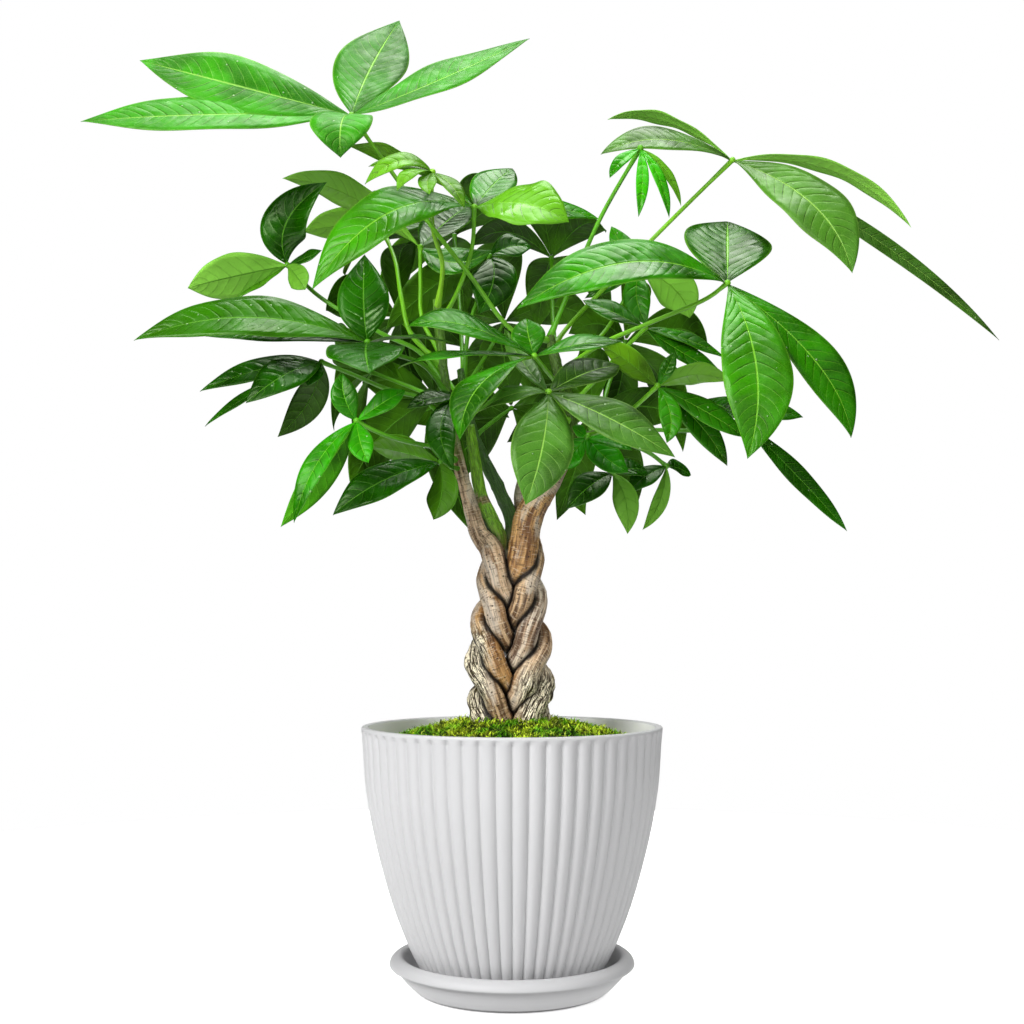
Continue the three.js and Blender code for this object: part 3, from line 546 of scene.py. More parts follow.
def blade_material(name, colour, vein, roughness, relief, mottle, under):
    """A veined blade face. The mark is the number of side veins passed, the place across the blade, from -1
    to 1, and a draw of its own for each blade, or 1 and how lime green it is, partly the leaf's own lime
    and partly painted light, or below 0 how much painted shade darkens it."""
    g = Graph(name, 0.25 if under else 0.42, LEAF_GLOSS)
    passed, across, own = g.split(g.attribute("blade"))
    place = g.place()
    edge = g.math("ABSOLUTE", across)
    phase = g.plus(passed, g.times(g.noise(place, 60), 0.3))
    wave = g.waves(phase)
    lateral = g.times(g.step(wave, 0.16, 0.02), g.step(edge, 0.5, 1, 1, 0.15))
    midrib = g.step(edge, 0.045, 0.01)
    net = g.cells(place, 620)
    light = toned(colour, BLADE_LIGHT)
    tone = g.mix(g.step(g.noise(place, 34, 3), 0.36, 0.64), toned(colour, mottle), light)
    tone = g.mix(g.step(own, 0, 1, 0, 0.3), tone, light)
    # Above 1 the mark turns the blade lime: partly its own lime colour, partly painted light through and on
    # the blade.
    tone = g.mix(g.ramp(own, 1, 2), tone, LIME_AND_LIGHT_UNDER if under else LIME_AND_LIGHT_UPPER)
    # Below 0 the mark darkens the blade: painted shade.
    tone = g.mix(g.ramp(own, 0, -1), tone, BLADE_PAINTED_SHADE)
    tone = g.mix(g.step(net, 0, 0.06, 0.16, 0), tone, vein)
    # A thin darker line beside each side vein: painted shade in the fold.
    beside = g.step(g.waves(g.plus(phase, 0.09)), 0.3, 0)
    crease_shade = g.times(beside, g.step(edge, 0.95, 0.55))
    crease_shade = g.times(crease_shade, g.step(g.noise(place, 95), 0.44, 0.56, 0, 0.3 if under else 0.7))
    tone = g.mix(crease_shade, tone, BLADE_PAINTED_SHADE)
    tone = g.mix(g.times(lateral, 0.4 if under else 0.3), tone, vein)
    tone = g.mix(g.times(midrib, 0.85), tone, vein)
    tone = g.mix(g.step(edge, 0.93, 1, 0, 0.4), tone, vein)
    quilt = g.times(g.math("POWER", wave, QUILT_POWER), g.step(edge, 0.6, 1, 1, 0.3))
    height = g.plus(g.times(quilt, -relief if under else relief), g.times(g.noise(place, 110, 1.5), 1.5))
    height = g.plus(height, g.times(midrib, 0.8 if under else -0.5))
    rough = g.step(g.noise(place, 90), 0.35, 0.65, roughness - 0.1, roughness + 0.1)
    if not under:
        # Small raised drops, smooth and whitish: a bump with a painted glint on each.
        drop_with_glint = g.drops(place, 190, 0.14, 0.3)
        tone = g.mix(g.times(drop_with_glint, 0.5), tone, DROP_GLINT)
        height = g.plus(height, g.times(drop_with_glint, 1.2))
        rough = g.times(rough, g.math("SUBTRACT", 1, g.times(drop_with_glint, 0.7)))
    return g.finish(tone, rough, height, 0.00065, 0.9)


def stalk_material(name, colour):
    g = Graph(name)
    streaks = g.noise(g.scaled(g.attribute("blade"), (0.8, 0.8, 0.05)), 1, 4)
    tone = g.mix(g.step(streaks, 0.35, 0.65), toned(colour, STALK_DARK), colour)
    return g.finish(tone, 0.4, streaks, 0.0002)


# Pot and saucer


def rounded(profile, reach, steps=4):
    """The profile with its inner corners replaced by short arcs that start at most reach away from them."""
    points = [np.array(p, float) for p in profile]
    made = [points[0]]
    for before, corner, after in zip(points, points[1:], points[2:]):
        ways = before - corner, after - corner
        near, far = (corner + unit(way) * min(reach, np.linalg.norm(way) * 0.45) for way in ways)
        for t in np.linspace(0, 1, steps + 1):
            made.append((1 - t) ** 2 * near + 2 * t * (1 - t) * corner + t**2 * far)
    return [*made, points[-1]]


def pot_radius(z):
    """The outer wall's radius, on a smooth curve through the profile."""
    places, radii = (np.array(v, float) for v in zip(*POT_PROFILE))
    slopes = np.gradient(radii, places)
    k = int(np.clip(np.searchsorted(places, z) - 1, 0, len(places) - 2))
    span = places[k + 1] - places[k]
    t = (z - places[k]) / span
    start = (2 * t**3 - 3 * t**2 + 1) * radii[k] + (t**3 - 2 * t**2 + t) * span * slopes[k]
    end = (-2 * t**3 + 3 * t**2) * radii[k + 1] + (t**3 - t**2) * span * slopes[k + 1]
    return start + end


def pot_rings():
    """The (radius, z, share of a rib's depth) of each ring of the pot, up its outside, over the rim, down
    its inside and under it, and the number of the first ring inside."""
    low, high = np.linspace(POT_FOOT_Z + 1.2, FINE_RINGS_Z, 44), np.linspace(FINE_RINGS_Z, RIB_END_Z[0], 9)
    rings = []
    for z in [*low, *high[1:]]:
        ribbed = part_way(z, *RIB_GROWTH_Z) * part_way(z, *RIB_END_Z)
        rings.append((pot_radius(z), z, ribbed**RIB_SHARPNESS))
    rim, foot = pot_radius(POT_RIM_Z), pot_radius(POT_FOOT_Z)
    inner = rim - POT_WALL
    quarter = np.linspace(0, math.pi / 2, 4)
    rounding = [(RIM_ROUNDING * (1 - math.cos(t)), RIM_ROUNDING * (1 - math.sin(t))) for t in quarter]
    plain = [(rim, RIB_END_Z[0] + 0.4)]
    plain += [(rim - near, POT_RIM_Z - far) for near, far in rounding]
    first_inside = len(rings) + len(plain)
    plain += [(inner + far, POT_RIM_Z - near) for near, far in rounding]
    plain += [(pot_radius(z) - POT_WALL, z) for z in np.linspace(POT_RIM_Z - 3, POT_FLOOR_Z, 14)]
    plain += [(DRAIN_RADIUS, POT_FLOOR_Z), (DRAIN_RADIUS, POT_FOOT_Z)]
    plain += [(foot - 1, POT_FOOT_Z), (foot + 0.2, POT_FOOT_Z + 0.3)]
    return rings + [(radius, z, 0) for radius, z in plain], first_inside


def make_pot():
    columns = RIBS * RIB_COLUMNS
    angles = turns(columns)
    across = np.abs(2 * ((angles * RIBS / TURN) % 1) - 1)
    dip = 0.8 * across**2.2 + 0.2 * across**8
    profile, first_inside = pot_rings()
    points = []
    for radius, z, ribbed in profile:
        r = radius - RIB_DEPTH * dip * ribbed
        points.append(np.stack([r * np.cos(angles), r * np.sin(angles), np.full(columns, z)], -1))
    points = np.concatenate(points)
    rows = len(profile)
    # The pot's inside gets the lighter colour: painted light on its inner wall.
    inside = np.hypot(points[:, 0], points[:, 1]) < pot_radius(POT_RIM_Z) - POT_WALL + 0.1
    inside &= np.repeat(np.arange(rows) >= first_inside, columns)
    builder = Builder()
    builder.add(points, inside[:, None] * 1.0, grid_faces(rows + 1, columns) % len(points))
    return builder.make("pot_ribbed", [plastic("pot_plastic", *POT_COLOURS)], "painted_light_share")


def make_saucer():
    profile = rounded(SAUCER_PROFILE, SAUCER_ROUNDING)
    points, faces = lathe(profile, SAUCER_SEGMENTS)
    points = np.concatenate([points, [[0, 0, 0], [0, 0, SAUCER_FLOOR_Z]]])
    builder = Builder()
    caps = cap_faces(len(profile), SAUCER_SEGMENTS)
    # The saucer's lower part gets the lighter colour: painted light.
    builder.add(points, part_way(points[:, 2:], *SAUCER_PAINTED_LIGHT_Z), faces, caps)
    return builder.make("saucer_round", [plastic("saucer_plastic", *SAUCER_COLOURS)], "painted_light_share")


# Stems

# A stem's turn is its place in the braid, in degrees, swell what its radius gains high in the braid, and
# leaves where it leaves the braid. living is its colour where it is green, from the height green_from up,
# and top the (pixel x, pixel y, depth, radius) of its free part.
Stem = namedtuple("Stem", "name turn swell leaves shade light living green_from top")
STEMS = [
    Stem("stem_1", 0, 2.6, 243, (112, 70, 32), (216, 168, 106), (62, 88, 26), 278, [
        (529, 518, 9, 8), (538, 500, 9, 7.2), (556, 473, 6, 5.6), (570, 440, 2, 4.2), (568, 400, 0, 3.6),
        (556, 362, 2, 3), (550, 335, 4, 2.4)]),
    Stem("stem_2", 144, 1, 240, (108, 78, 52), (226, 196, 160), (70, 104, 30), 285, [
        (479, 533, 2, 5), (470, 502, 3, 4), (461, 470, 2, 3.7), (452, 430, -2, 3.4), (445, 380, -8, 3),
        (440, 330, -14, 2.6), (437, 300, -18, 2.2)]),
    Stem("stem_3", 72, -1.2, 232, (100, 70, 46), (222, 188, 146), (108, 158, 40), 232, [
        (499, 542, -4, 4.6), (490, 518, -5, 4.7), (482, 496, -7, 3.5), (474, 452, -9, 3.2),
        (470, 425, -8, 2.6)]),
    Stem("stem_4", 216, -0.8, 219, (98, 72, 50), (234, 218, 196), (48, 82, 24), 232, [
        (513, 548, -15, 4.6), (512, 521, -14, 3.9), (500, 490, -17, 3.7), (481, 452, -24, 3.4),
        (468, 415, -30, 3.1), (462, 370, -36, 2.6)]),
    Stem("stem_5", -72, 0, 240, (90, 62, 40), (216, 182, 140), (70, 92, 34), 268, [
        (527, 520, -16, 4.6), (522, 492, -22, 4.2), (536, 462, -26, 3.8), (566, 442, -26, 3.4),
        (598, 434, -22, 2.8), (622, 428, -18, 2.3)]),
]


def strand_at(turn, z):
    """The braid's formula: a strand's centre at a height. turn is its place in the braid, in degrees."""
    phase = TURN * (BRAID_CROSSING_Z - z) / BRAID_CYCLE
    even = math.pi / 2 + math.radians(turn) + phase
    angle = even + FRONT_DELAY * (math.cos(2 * even) + 1)
    swing = math.sin(2 * angle - DIVE_HASTE * math.sin(2 * angle))
    x = between(BRAID_WIDTH, z) * math.cos(angle) + BRAID_SHIFT
    return np.array([x, -BRAID_DEPTH * swing, z])


def stem_path(stem):
    """Points of a stem's axis, and the radius at each."""
    foot = strand_at(stem.turn, BRAID_START_Z)
    path = [(np.array([foot[0], foot[1], STEM_FOOT_Z]), STRAND_RADIUS[0][1])]
    for z in np.arange(foot[2], stem.leaves, BRAID_STEP):
        share = part_way(z, *SWELL_Z)
        swollen = stem.swell * share * share * (3 - 2 * share)
        path.append((strand_at(stem.turn, z), between(STRAND_RADIUS, z) + swollen))
    path += [(seen(row[:3]), row[3]) for row in stem.top]
    points, radii = zip(*path)
    return np.array(points), np.array(radii)


def on_stem(number, z):
    """The stem's axis where it first reaches a height, or a point near its top."""
    points, _ = stem_path(STEMS[number - 1])
    for low, high in zip(points, points[1:]):
        if high[2] >= z:
            return low + (high - low) * (z - low[2]) / (high[2] - low[2])
    return points[-2]


def bark_noise(angle, length, around, along, seed):
    """Noise on a stem, as fine round it and along it as around and along say."""
    return noise.noise(Vector((math.cos(angle) * around + seed, math.sin(angle) * around, length * along)))


def bark_bulge(seed, angles, length, rough):
    """How far the bark stands out: long furrows, ring scars and knots, rougher low on the trunk."""
    swell = []
    for angle in angles:
        furrow = bark_noise(angle, length, 2.6, 0.075, seed)
        fine = bark_noise(angle, length, 7, 0.21, seed)
        knot = bark_noise(angle, length, 1.1, 0.11, -seed)
        swell.append((0.34 + 1.6 * rough) * furrow + (0.16 + rough) * fine + 0.4 * knot + 1.2 * rough)
    drift = 3 * noise.noise(Vector((seed, length * 0.03, 0)))
    scar = max(0.0, math.cos(length * 0.62 + drift)) ** 10
    return np.array(swell) + 0.22 * scar


def roughness_at(points):
    """Old corky bark: low on both sides of the trunk, higher on the left one."""
    x, z = points[:, 0], points[:, 2]
    left = part_way(z, *ROUGH_LEFT_Z) * part_way(x, *ROUGH_LEFT_X)
    right = part_way(z, *ROUGH_RIGHT_Z) * part_way(x, *ROUGH_RIGHT_X)
    return np.maximum(left, right)


def crevice_at(stem, points):
    """How close places lie to another stem's bark, for the painted crevice shade: 1 on it, 0 from
    CREVICE_REACH away.
    """
    nearest = np.full(len(points), np.inf)
    for path, radii in (stem_path(other) for other in STEMS if other is not stem):
        steps = np.arange(len(path))
        fine = np.linspace(0, len(path) - 1, CREVICE_SAMPLES * len(path))
        axis = np.stack([np.interp(fine, steps, path[:, k]) for k in range(3)], -1)
        gaps = np.linalg.norm(points[:, None] - axis[None], axis=-1) - np.interp(fine, steps, radii)
        nearest = np.minimum(nearest, gaps.min(axis=1))
    return np.clip(1 - nearest / CREVICE_REACH, 0, 1)


def make_stem(index, stem):
    points, radii = stem_path(stem)
    lengths = lengths_along(points)
    line = smooth_path(points, int(lengths[-1] / STEM_RING))
    walked = lengths_along(line)
    rough_at = roughness_at(line)

    def bulge(angles, length):
        return bark_bulge(BARK_SEED_STEP * index, angles, length, np.interp(length, walked, rough_at))

    radius = np.interp(walked * lengths[-1] / walked[-1], lengths, radii)
    made, *rest = tube(line, radius, STEM_SIDES, bulge)
    builder = Builder()
    builder.add(made, *rest)
    material = bark_material(stem.name + "_bark", stem.shade, stem.light, stem.living)
    piece = builder.make(stem.name + "_bark", [material], "strand")
    green = part_way(made[:, 2], stem.green_from, stem.green_from + GREENING)
    if stem.name == SCARRED_STEM:
        green[np.abs(made[:, 2] - SCAR_Z) < SCAR_HALF] *= SCAR_GREEN
    # The third value is how much painted crevice shade the bark gets.
    set_mark(piece.data, "wear_and_shade", np.stack([green, roughness_at(made), crevice_at(stem, made)], -1))
    return piece


# Soil and moss


def soil_z(radius):
    return MOSS_CROWN_Z - MOSS_THICKNESS - MOSS_DROP * (radius / MOSS_RADIUS) ** 2


def moss_z(x, y):
    """Height of the moss cushion: the part's broad bumps with finer ones on them."""
    broad = np.sin(x * 0.31 + 1.3) * np.cos(y * 0.27) + np.sin((x - y) * 0.19 + 2.1)
    fine = 0.9 * np.sin(x * 0.8 + 2 * np.sin(y * 0.5)) * np.sin(y * 0.73 + 1.1)
    return soil_z(np.hypot(x, y)) + MOSS_THICKNESS + MOSS_BUMP * (broad + fine)


def moss_cushion():
    """Rings of the cushion from its middle out, and down its edge to the soil."""
    angles = turns(MOSS_SEGMENTS)
    rings = []
    for radius in np.linspace(CENTRE_RING, MOSS_RADIUS - MOSS_ROLL, MOSS_RINGS):
        x, y = radius * np.cos(angles), radius * np.sin(angles)
        rings.append(np.stack([x, y, moss_z(x, y)], -1))
    x, y = MOSS_RADIUS * np.cos(angles), MOSS_RADIUS * np.sin(angles)
    for rise in (MOSS_MARGIN, GAP):
        rings.append(np.stack([x, y, np.full(MOSS_SEGMENTS, soil_z(MOSS_RADIUS) + rise)], -1))
    return np.concatenate(rings), grid_faces(len(rings), MOSS_SEGMENTS)


def make_moss():
    draws = np.random.default_rng(TUFT_SEED)

    def some(least, more, power=1):
        return least + more * draws.random(TUFTS) ** power

    radius = (MOSS_RADIUS - TUFT_CLEAR) * np.sqrt(draws.random(TUFTS))
    angle = some(0, TURN)
    x, y = radius * np.cos(angle), radius * np.sin(angle)
    root = np.stack([x, y, moss_z(x, y) - TUFT_ROOT], -1)
    lean_angle = some(0, TURN)
    lean = some(*TUFT_LEAN)[:, None]
    height = some(*TUFT_HEIGHT, 2)[:, None]
    cosine, sine, level = np.cos(lean_angle), np.sin(lean_angle), np.zeros(TUFTS)
    away = np.stack([cosine, sine, level], -1)
    aside = np.stack([-sine, cosine, level], -1) * some(*TUFT_HALF)[:, None]
    middle = root + 0.55 * height * (UP + 0.35 * lean * away)
    tip = root + height * (UP * 0.85 + lean * away)
    marks = np.zeros((TUFTS, 5, 3))
    marks[:, :, 0] = [0.1, 0.1, 0.65, 0.65, 1]
    marks[:, :, 1] = draws.random(TUFTS)[:, None]
    points = np.stack([root - aside, root + aside, middle + aside, middle - aside, tip], 1)
    builder = Builder()
    cushion, faces = moss_cushion()
    builder.add(cushion, (0.25, 0.3, 0), faces)
    first = 5 * np.arange(TUFTS)[:, None]
    builder.add(points, marks, first + [0, 1, 2, 3], first + [3, 2, 4])
    return builder.make("moss_cushion", [moss_material()], "moss")


# Leaves

Blade = namedtuple("Blade", "tip bend half up cast across", defaults=(0, 0))

# Per tone: slot name, upper face, under face, vein, petiole (displayed colours), roughness, how far the
# blade swells between its veins, and how much of its colour its darkest patches keep.
TONES = {
    "fresh": ("leaf_fresh", (44, 130, 6), (88, 168, 30), (146, 210, 82), (124, 202, 44), 0.46, 0.3, 0.72),
    "young": ("leaf_young", (80, 142, 8), (112, 178, 22), (150, 206, 60), (150, 214, 50), 0.44, 0.25, 0.6),
    "bright": ("leaf_fresh", (40, 140, 2), (80, 178, 14), (116, 204, 44), (104, 190, 36), 0.34, 0.3, 0.5),
    "mature": ("leaf_mature", (38, 114, 3), (104, 162, 16), (122, 192, 50), (124, 202, 36), 0.32, 0.35,
               0.42),
    "grey": ("leaf_mature", (58, 104, 28), (112, 172, 32), (142, 194, 80), (132, 206, 40), 0.38, 0.3, 0.55),
    "deep": ("leaf_deep", (22, 78, 0), (60, 108, 8), (94, 162, 42), (92, 168, 26), 0.3, 0.3, 0.42),
}

# A leaf is its tone, (stem number, height of its root there), its hub, its petiole's way and its blades. A
# blade is its tip, its bend halfway, half its width and how many degrees its upper side is turned up from
# the viewer. For some follow how lime green it is, partly its own lime and partly painted light, or below 0
# how much painted shade darkens it (0 leaves it to a draw), and how many degrees to the right it looks.
# Points are (pixel x, pixel y, depth).
LEAVES = [
    ("fresh", (1, 356), (352, 115, 5), [(385, 162, 10), (431, 225, 20), (470, 275, 20), (515, 332, 14)], [
        ((140, 60, 15), (240, 86, 20), 20, 26), ((81, 121, 45), (215, 114, 34), 18, 38),
        ((400, 20, -55), (371, 68, -22), 21, 20, -0.35), ((530, 38, -12), (434, 82, 2), 18, 50),
        ((341, 158, 44), (342, 122, 42), 17, 22)]),
    ("young", (2, 378), (433, 172, 48), [(432, 200, 28), (434, 232, 8), (443, 265, -6)], [
        ((365, 184, 62), (402, 160, 58), 7, 40), ((369, 166, 50), (403, 163, 46), 5, 30),
        ((397, 191, 68), (412, 172, 64), 5, 20, 0, -20), ((430, 194, 72), (428, 181, 64), 5, 20),
        ((465, 208, 66), (452, 185, 62), 5, 30, 0, 20)]),
    ("mature", (2, 370), (475, 207, 30), [(472, 250, 14), (454, 300, -4)], [
        ((312, 290, 64), (390, 212, 60), 19, 42, 0.12), ((347, 145, -20), (418, 168, -6), 15, 106, 0.2),
        ((513, 168, -12), (494, 184, 8), 12, 32, -0.2), ((570, 222, 62), (524, 203, 58), 18, 26, 1, 10),
        ((600, 219, -16), (543, 206, 4), 15, 45)]),
    ("mature", (2, 350), (421, 247, -30), [(421, 285, -24), (423, 320, -18)], [
        ((283, 178, -46), (352, 196, -40), 14, 118, 0.7), ((492, 250, -18), (455, 262, -24), 13, 40, -0.3),
        ((470, 205, -100), (446, 222, -66), 14, 40, -0.7)]),
    ("mature", (2, 344), (386, 236, -68), [(396, 262, -40), (402, 298, -18), (412, 335, -10)], [
        ((304, 232, -76), (347, 226, -72), 13, 130, 0.6), ((345, 275, -100), (360, 250, -80), 13, 40),
        ((440, 215, -140), (415, 218, -100), 14, 30, -0.7), ((375, 190, -130), (380, 208, -95), 14, 30)]),
    ("deep", (2, 333), (288, 265, -20),
     [(313, 291, -18), (337, 308, -14), (385, 335, -12), (420, 352, -10)], [
        ((327, 182, -4), (287, 222, -12), 15, 25), ((188, 288, 6), (234, 276, -4), 13, 150, 0.9),
        ((226, 303, -10), (258, 280, -16), 7, 44, 0.5), ((322, 250, -10), (305, 258, -14), 6, 40),
        ((306, 290, -2), (298, 277, -8), 7, 160, 0.3)]),
    ("deep", (2, 328), (368, 342, 40), [(395, 354, 28), (425, 366, 8)], [
        ((365, 254, 22), (364, 303, 38), 14, 12), ((134, 340, 56), (250, 317, 54), 16, 38, 0.12),
        ((370, 373, 98), (366, 352, 76), 20, 55), ((455, 343, 44), (412, 337, 46), 11, 78, -0.2),
        ((312, 330, 10), (340, 330, 24), 8, 120), ((206, 336, 22), (272, 334, 28), 7, 44)]),
    ("deep", (2, 306), (322, 362, 14), [(352, 374, 8), (390, 390, 2), (425, 400, -2)], [
        ((200, 391, 22), (264, 368, 22), 10, 45), ((246, 403, 46), (286, 374, 38), 12, 35),
        ((205, 426, -6), (258, 390, 0), 9, 60), ((278, 437, -14), (310, 400, -4), 9, 155, -0.5),
        ((308, 386, 26), (313, 373, 24), 6, 30)]),
    ("bright", (2, 288), (357, 421, 60), [(378, 432, 54), (405, 441, 40), (435, 448, 20)], [
        ((343, 373, 58), (345, 397, 62), 7, 10, -0.6), ((406, 390, 62), (384, 402, 64), 7, 35),
        ((369, 463, 76), (361, 443, 72), 6.5, 15, -0.15),
        ((294, 523, 82), (318, 462, 80), 7, 25, -0.12, -20),
        ((281, 527, 58), (322, 474, 58), 8, 150, -0.5)]),
    ("deep", (2, 284), (441, 462, 30), [(449, 466, 16)], [
        ((333, 515, 54), (384, 480, 50), 12, 40), ((434, 520, 40), (443, 492, 36), 10, 10, -0.3, 150),
        ((370, 446, -8), (405, 452, 10), 11, 145)]),
    ("deep", (2, 312), (455, 396, 12), [(452, 400, 0)], [
        ((407, 408, 26), (432, 398, 22), 8, 50, -0.35), ((455, 470, 50), (441, 430, 42), 8, 30, -0.3),
        ((421, 392, -4), (438, 397, 2), 6, 40, -0.35), ((500, 402, -6), (478, 394, 6), 9, 50, -0.4)]),
    ("mature", (1, 330), (535, 356, 55), [(548, 372, 38), (560, 386, 16)], [
        ((408, 326, 76), (462, 324, 74), 13, 52, -0.25), ((398, 368, 56), (450, 355, 62), 10, 70),
        ((460, 440, 104), (481, 384, 96), 13, 20, 0, -35), ((527, 318, 46), (529, 336, 54), 9, 20),
        ((625, 341, 50), (580, 344, 56), 11, 60, -0.2)]),
    ("grey", (1, 312), (549, 392, 70), [(560, 408, 45), (568, 422, 18)], [
        ((526, 505, 104), (543, 446, 96), 15.5, 10, 0, 5), ((676, 457, 96), (612, 419, 92), 13, 42, -0.2),
        ((475, 414, 72), (512, 394, 78), 10, 60), ((620, 365, 36), (588, 372, 54), 12, 45, -0.8),
        ((505, 328, 14), (523, 361, 26), 6, 40)]),
    ("mature", (1, 338), (728, 283, 55), [(708, 298, 50), (650, 323, 36), (600, 345, 20)], [
        ((728, 221, 8), (728, 245, 30), 24, 15, -0.65), ((517, 309, 84), (628, 262, 80), 19, 40),
        ((748, 459, 104), (757, 368, 92), 18, 10, 0.1, 5),
        ((852, 438, 62), (817, 362, 66), 15, 20, -0.2, 25)]),
    ("grey", (1, 352), (733, 160, -10), [(675, 217, -12), (607, 286, -14), (570, 325, -8)], [
        ((608, 119, -26), (668, 121, -22), 9, 96, 1), ((601, 154, 14), (664, 139, 8), 13, 44),
        ((912, 227, 4), (834, 170, 2), 9, 98, 1), ((853, 273, 34), (813, 204, 22), 18, 15, 0.1, 10),
        ((1000, 340, -40), (878, 240, -34), 6.5, 28, -0.3)]),
    ("bright", (1, 358), (641, 148, 30), [(600, 220, 12), (570, 290, 4)], [
        ((610, 178, 40), (622, 160, 38), 4, 20, 0, -20), ((639, 217, 46), (643, 180, 42), 3.5, 10),
        ((670, 218, 40), (660, 178, 40), 3.5, 10, 0, 20),
        ((682, 206, 26), (667, 172, 30), 3.2, 10, 1, 30)]),
    ("mature", (1, 330), (641, 268, -34), [(612, 322, -32), (588, 352, -18)], [
        ((612, 226, -44), (624, 247, -40), 7, 30), ((648, 325, -18), (637, 297, -24), 8, 15, 0, -10),
        ((690, 318, -44), (676, 290, -38), 12, 150, 0.8), ((585, 298, -44), (612, 284, -40), 6, 40, -0.5)]),
    ("mature", (1, 318), (646, 328, 4), [(622, 352, 4), (592, 384, 4)], [
        ((726, 358, -10), (690, 340, -2), 8, 50), ((725, 375, 0), (686, 354, 4), 8, 40),
        ((583, 300, -4), (612, 311, 2), 8, 45, -0.4)]),
    ("mature", (5, 305), (658, 386, 34), [(634, 408, 24), (608, 428, 2)], [
        ((600, 343, 22), (629, 361, 30), 8, 140, -0.4), ((730, 381, 22), (694, 374, 28), 8, 130, 0.5),
        ((745, 437, 32), (711, 414, 36), 8, 35, -0.3), ((728, 466, 18), (700, 424, 24), 8, 25, -0.3),
        ((667, 443, 46), (671, 415, 44), 6, 20), ((675, 352, 34), (668, 368, 36), 4, 20)]),
    ("deep", (5, 308), (742, 420, -14), [(700, 430, -16), (655, 430, -20)], [
        ((804, 417, -20), (772, 412, -16), 8, 40), ((848, 531, -8), (800, 478, -8), 7, 38),
        ((760, 350, -70), (752, 385, -42), 12, 30), ((700, 400, -84), (720, 405, -48), 12, 30)]),
    ("bright", (5, 302), (588, 437, 40), [(586, 440, 18)], [
        ((573, 427, 44), (580, 431, 42), 3.5, 20), ((633, 450, 58), (611, 440, 54), 6, 45),
        ((630, 472, 48), (606, 457, 46), 9, 40), ((562, 470, 30), (572, 454, 36), 7, 20)]),
    ("deep", (5, 304), (613, 473, 12), [(609, 455, -6)], [
        ((567, 509, 24), (590, 486, 22), 9, 35, -0.4), ((628, 534, 20), (626, 500, 20), 7, 10, 0.4, 170),
        ((648, 470, -4), (632, 468, 4), 8, 40)]),
    ("deep", (5, 301), (667, 466, -12), [(648, 452, -14), (618, 442, -22)], [
        ((628, 493, 2), (646, 476, -2), 7, 40), ((643, 530, -8), (661, 500, -8), 4.5, 10, 0.5, 160),
        ((692, 475, -24), (680, 468, -18), 7, 40)]),
    ("deep", (4, 338), (490, 256, -44), [(482, 290, -42), (470, 325, -40)], [
        ((386, 330, -30), (437, 284, -38), 13, 145), ((479, 314, -22), (494, 280, -30), 14, 15, -0.3),
        ((532, 248, -50), (512, 246, -46), 10, 35)]),
]

# The leaves behind: hub, where the whorl faces, blade length and place on a stem.
REAR_LEAVES = [
    ((455, 236, -150), (200, 50), 68, (4, 336)),
    ((552, 258, -112), (155, 60), 64, (1, 342)),
    ((400, 318, -122), (230, 25), 72, (4, 323)),
    ((626, 342, -118), (130, 20), 66, (5, 311)),
    ((505, 322, -196), (182, 30), 76, (4, 334)),
    ((436, 398, -136), (215, 0), 74, (4, 314)),
    ((592, 414, -128), (150, -5), 72, (5, 306)),
    ((512, 408, -178), (180, 0), 76, (4, 306)),
    ((372, 372, -72), (255, 10), 60, (4, 320)),
]
REAR_BLADES = 5
REAR_ELBOW = 4

# Shares of a rear blade's reach: how far its middle and its tip go outward, the way the whorl faces and
# down, and half its width. Then the least reach and what a draw adds, as shares of the length above.
REAR_MIDDLE = (0.5, 0.16, 0)
REAR_TIP = (0.9, 0.08, 0.22)
REAR_HALF = 0.2
REAR_REACH = (0.82, 0.3)
# The most painted shade a rear blade gets, scaled by a draw.
REAR_SHADE_MOST = 0.6


def facing_of(across, up):
    """The direction that many degrees to the viewer's right and up."""
    across, up = math.radians(across), math.radians(up)
    return np.array([math.sin(across) * math.cos(up), -math.cos(across) * math.cos(up), math.sin(up)])


def outline(along, rise, fall):
    """Share of a blade's half width: a wedge at the root, widest near the middle, drawn out at the tip."""
    peak = rise / (rise + fall)
    return along**rise * (1 - along) ** fall / (peak**rise * (1 - peak) ** fall)


def veins_passed(along, edge, half, length):
    """Side veins between the root and a place: they lean to the tip, and more so near the margin."""
    lean = (VEIN_CURL * edge + VEIN_LEAN) * edge * half / VEIN_SPACING
    return along * max(VEINS_LEAST, round(length / VEIN_SPACING)) - lean


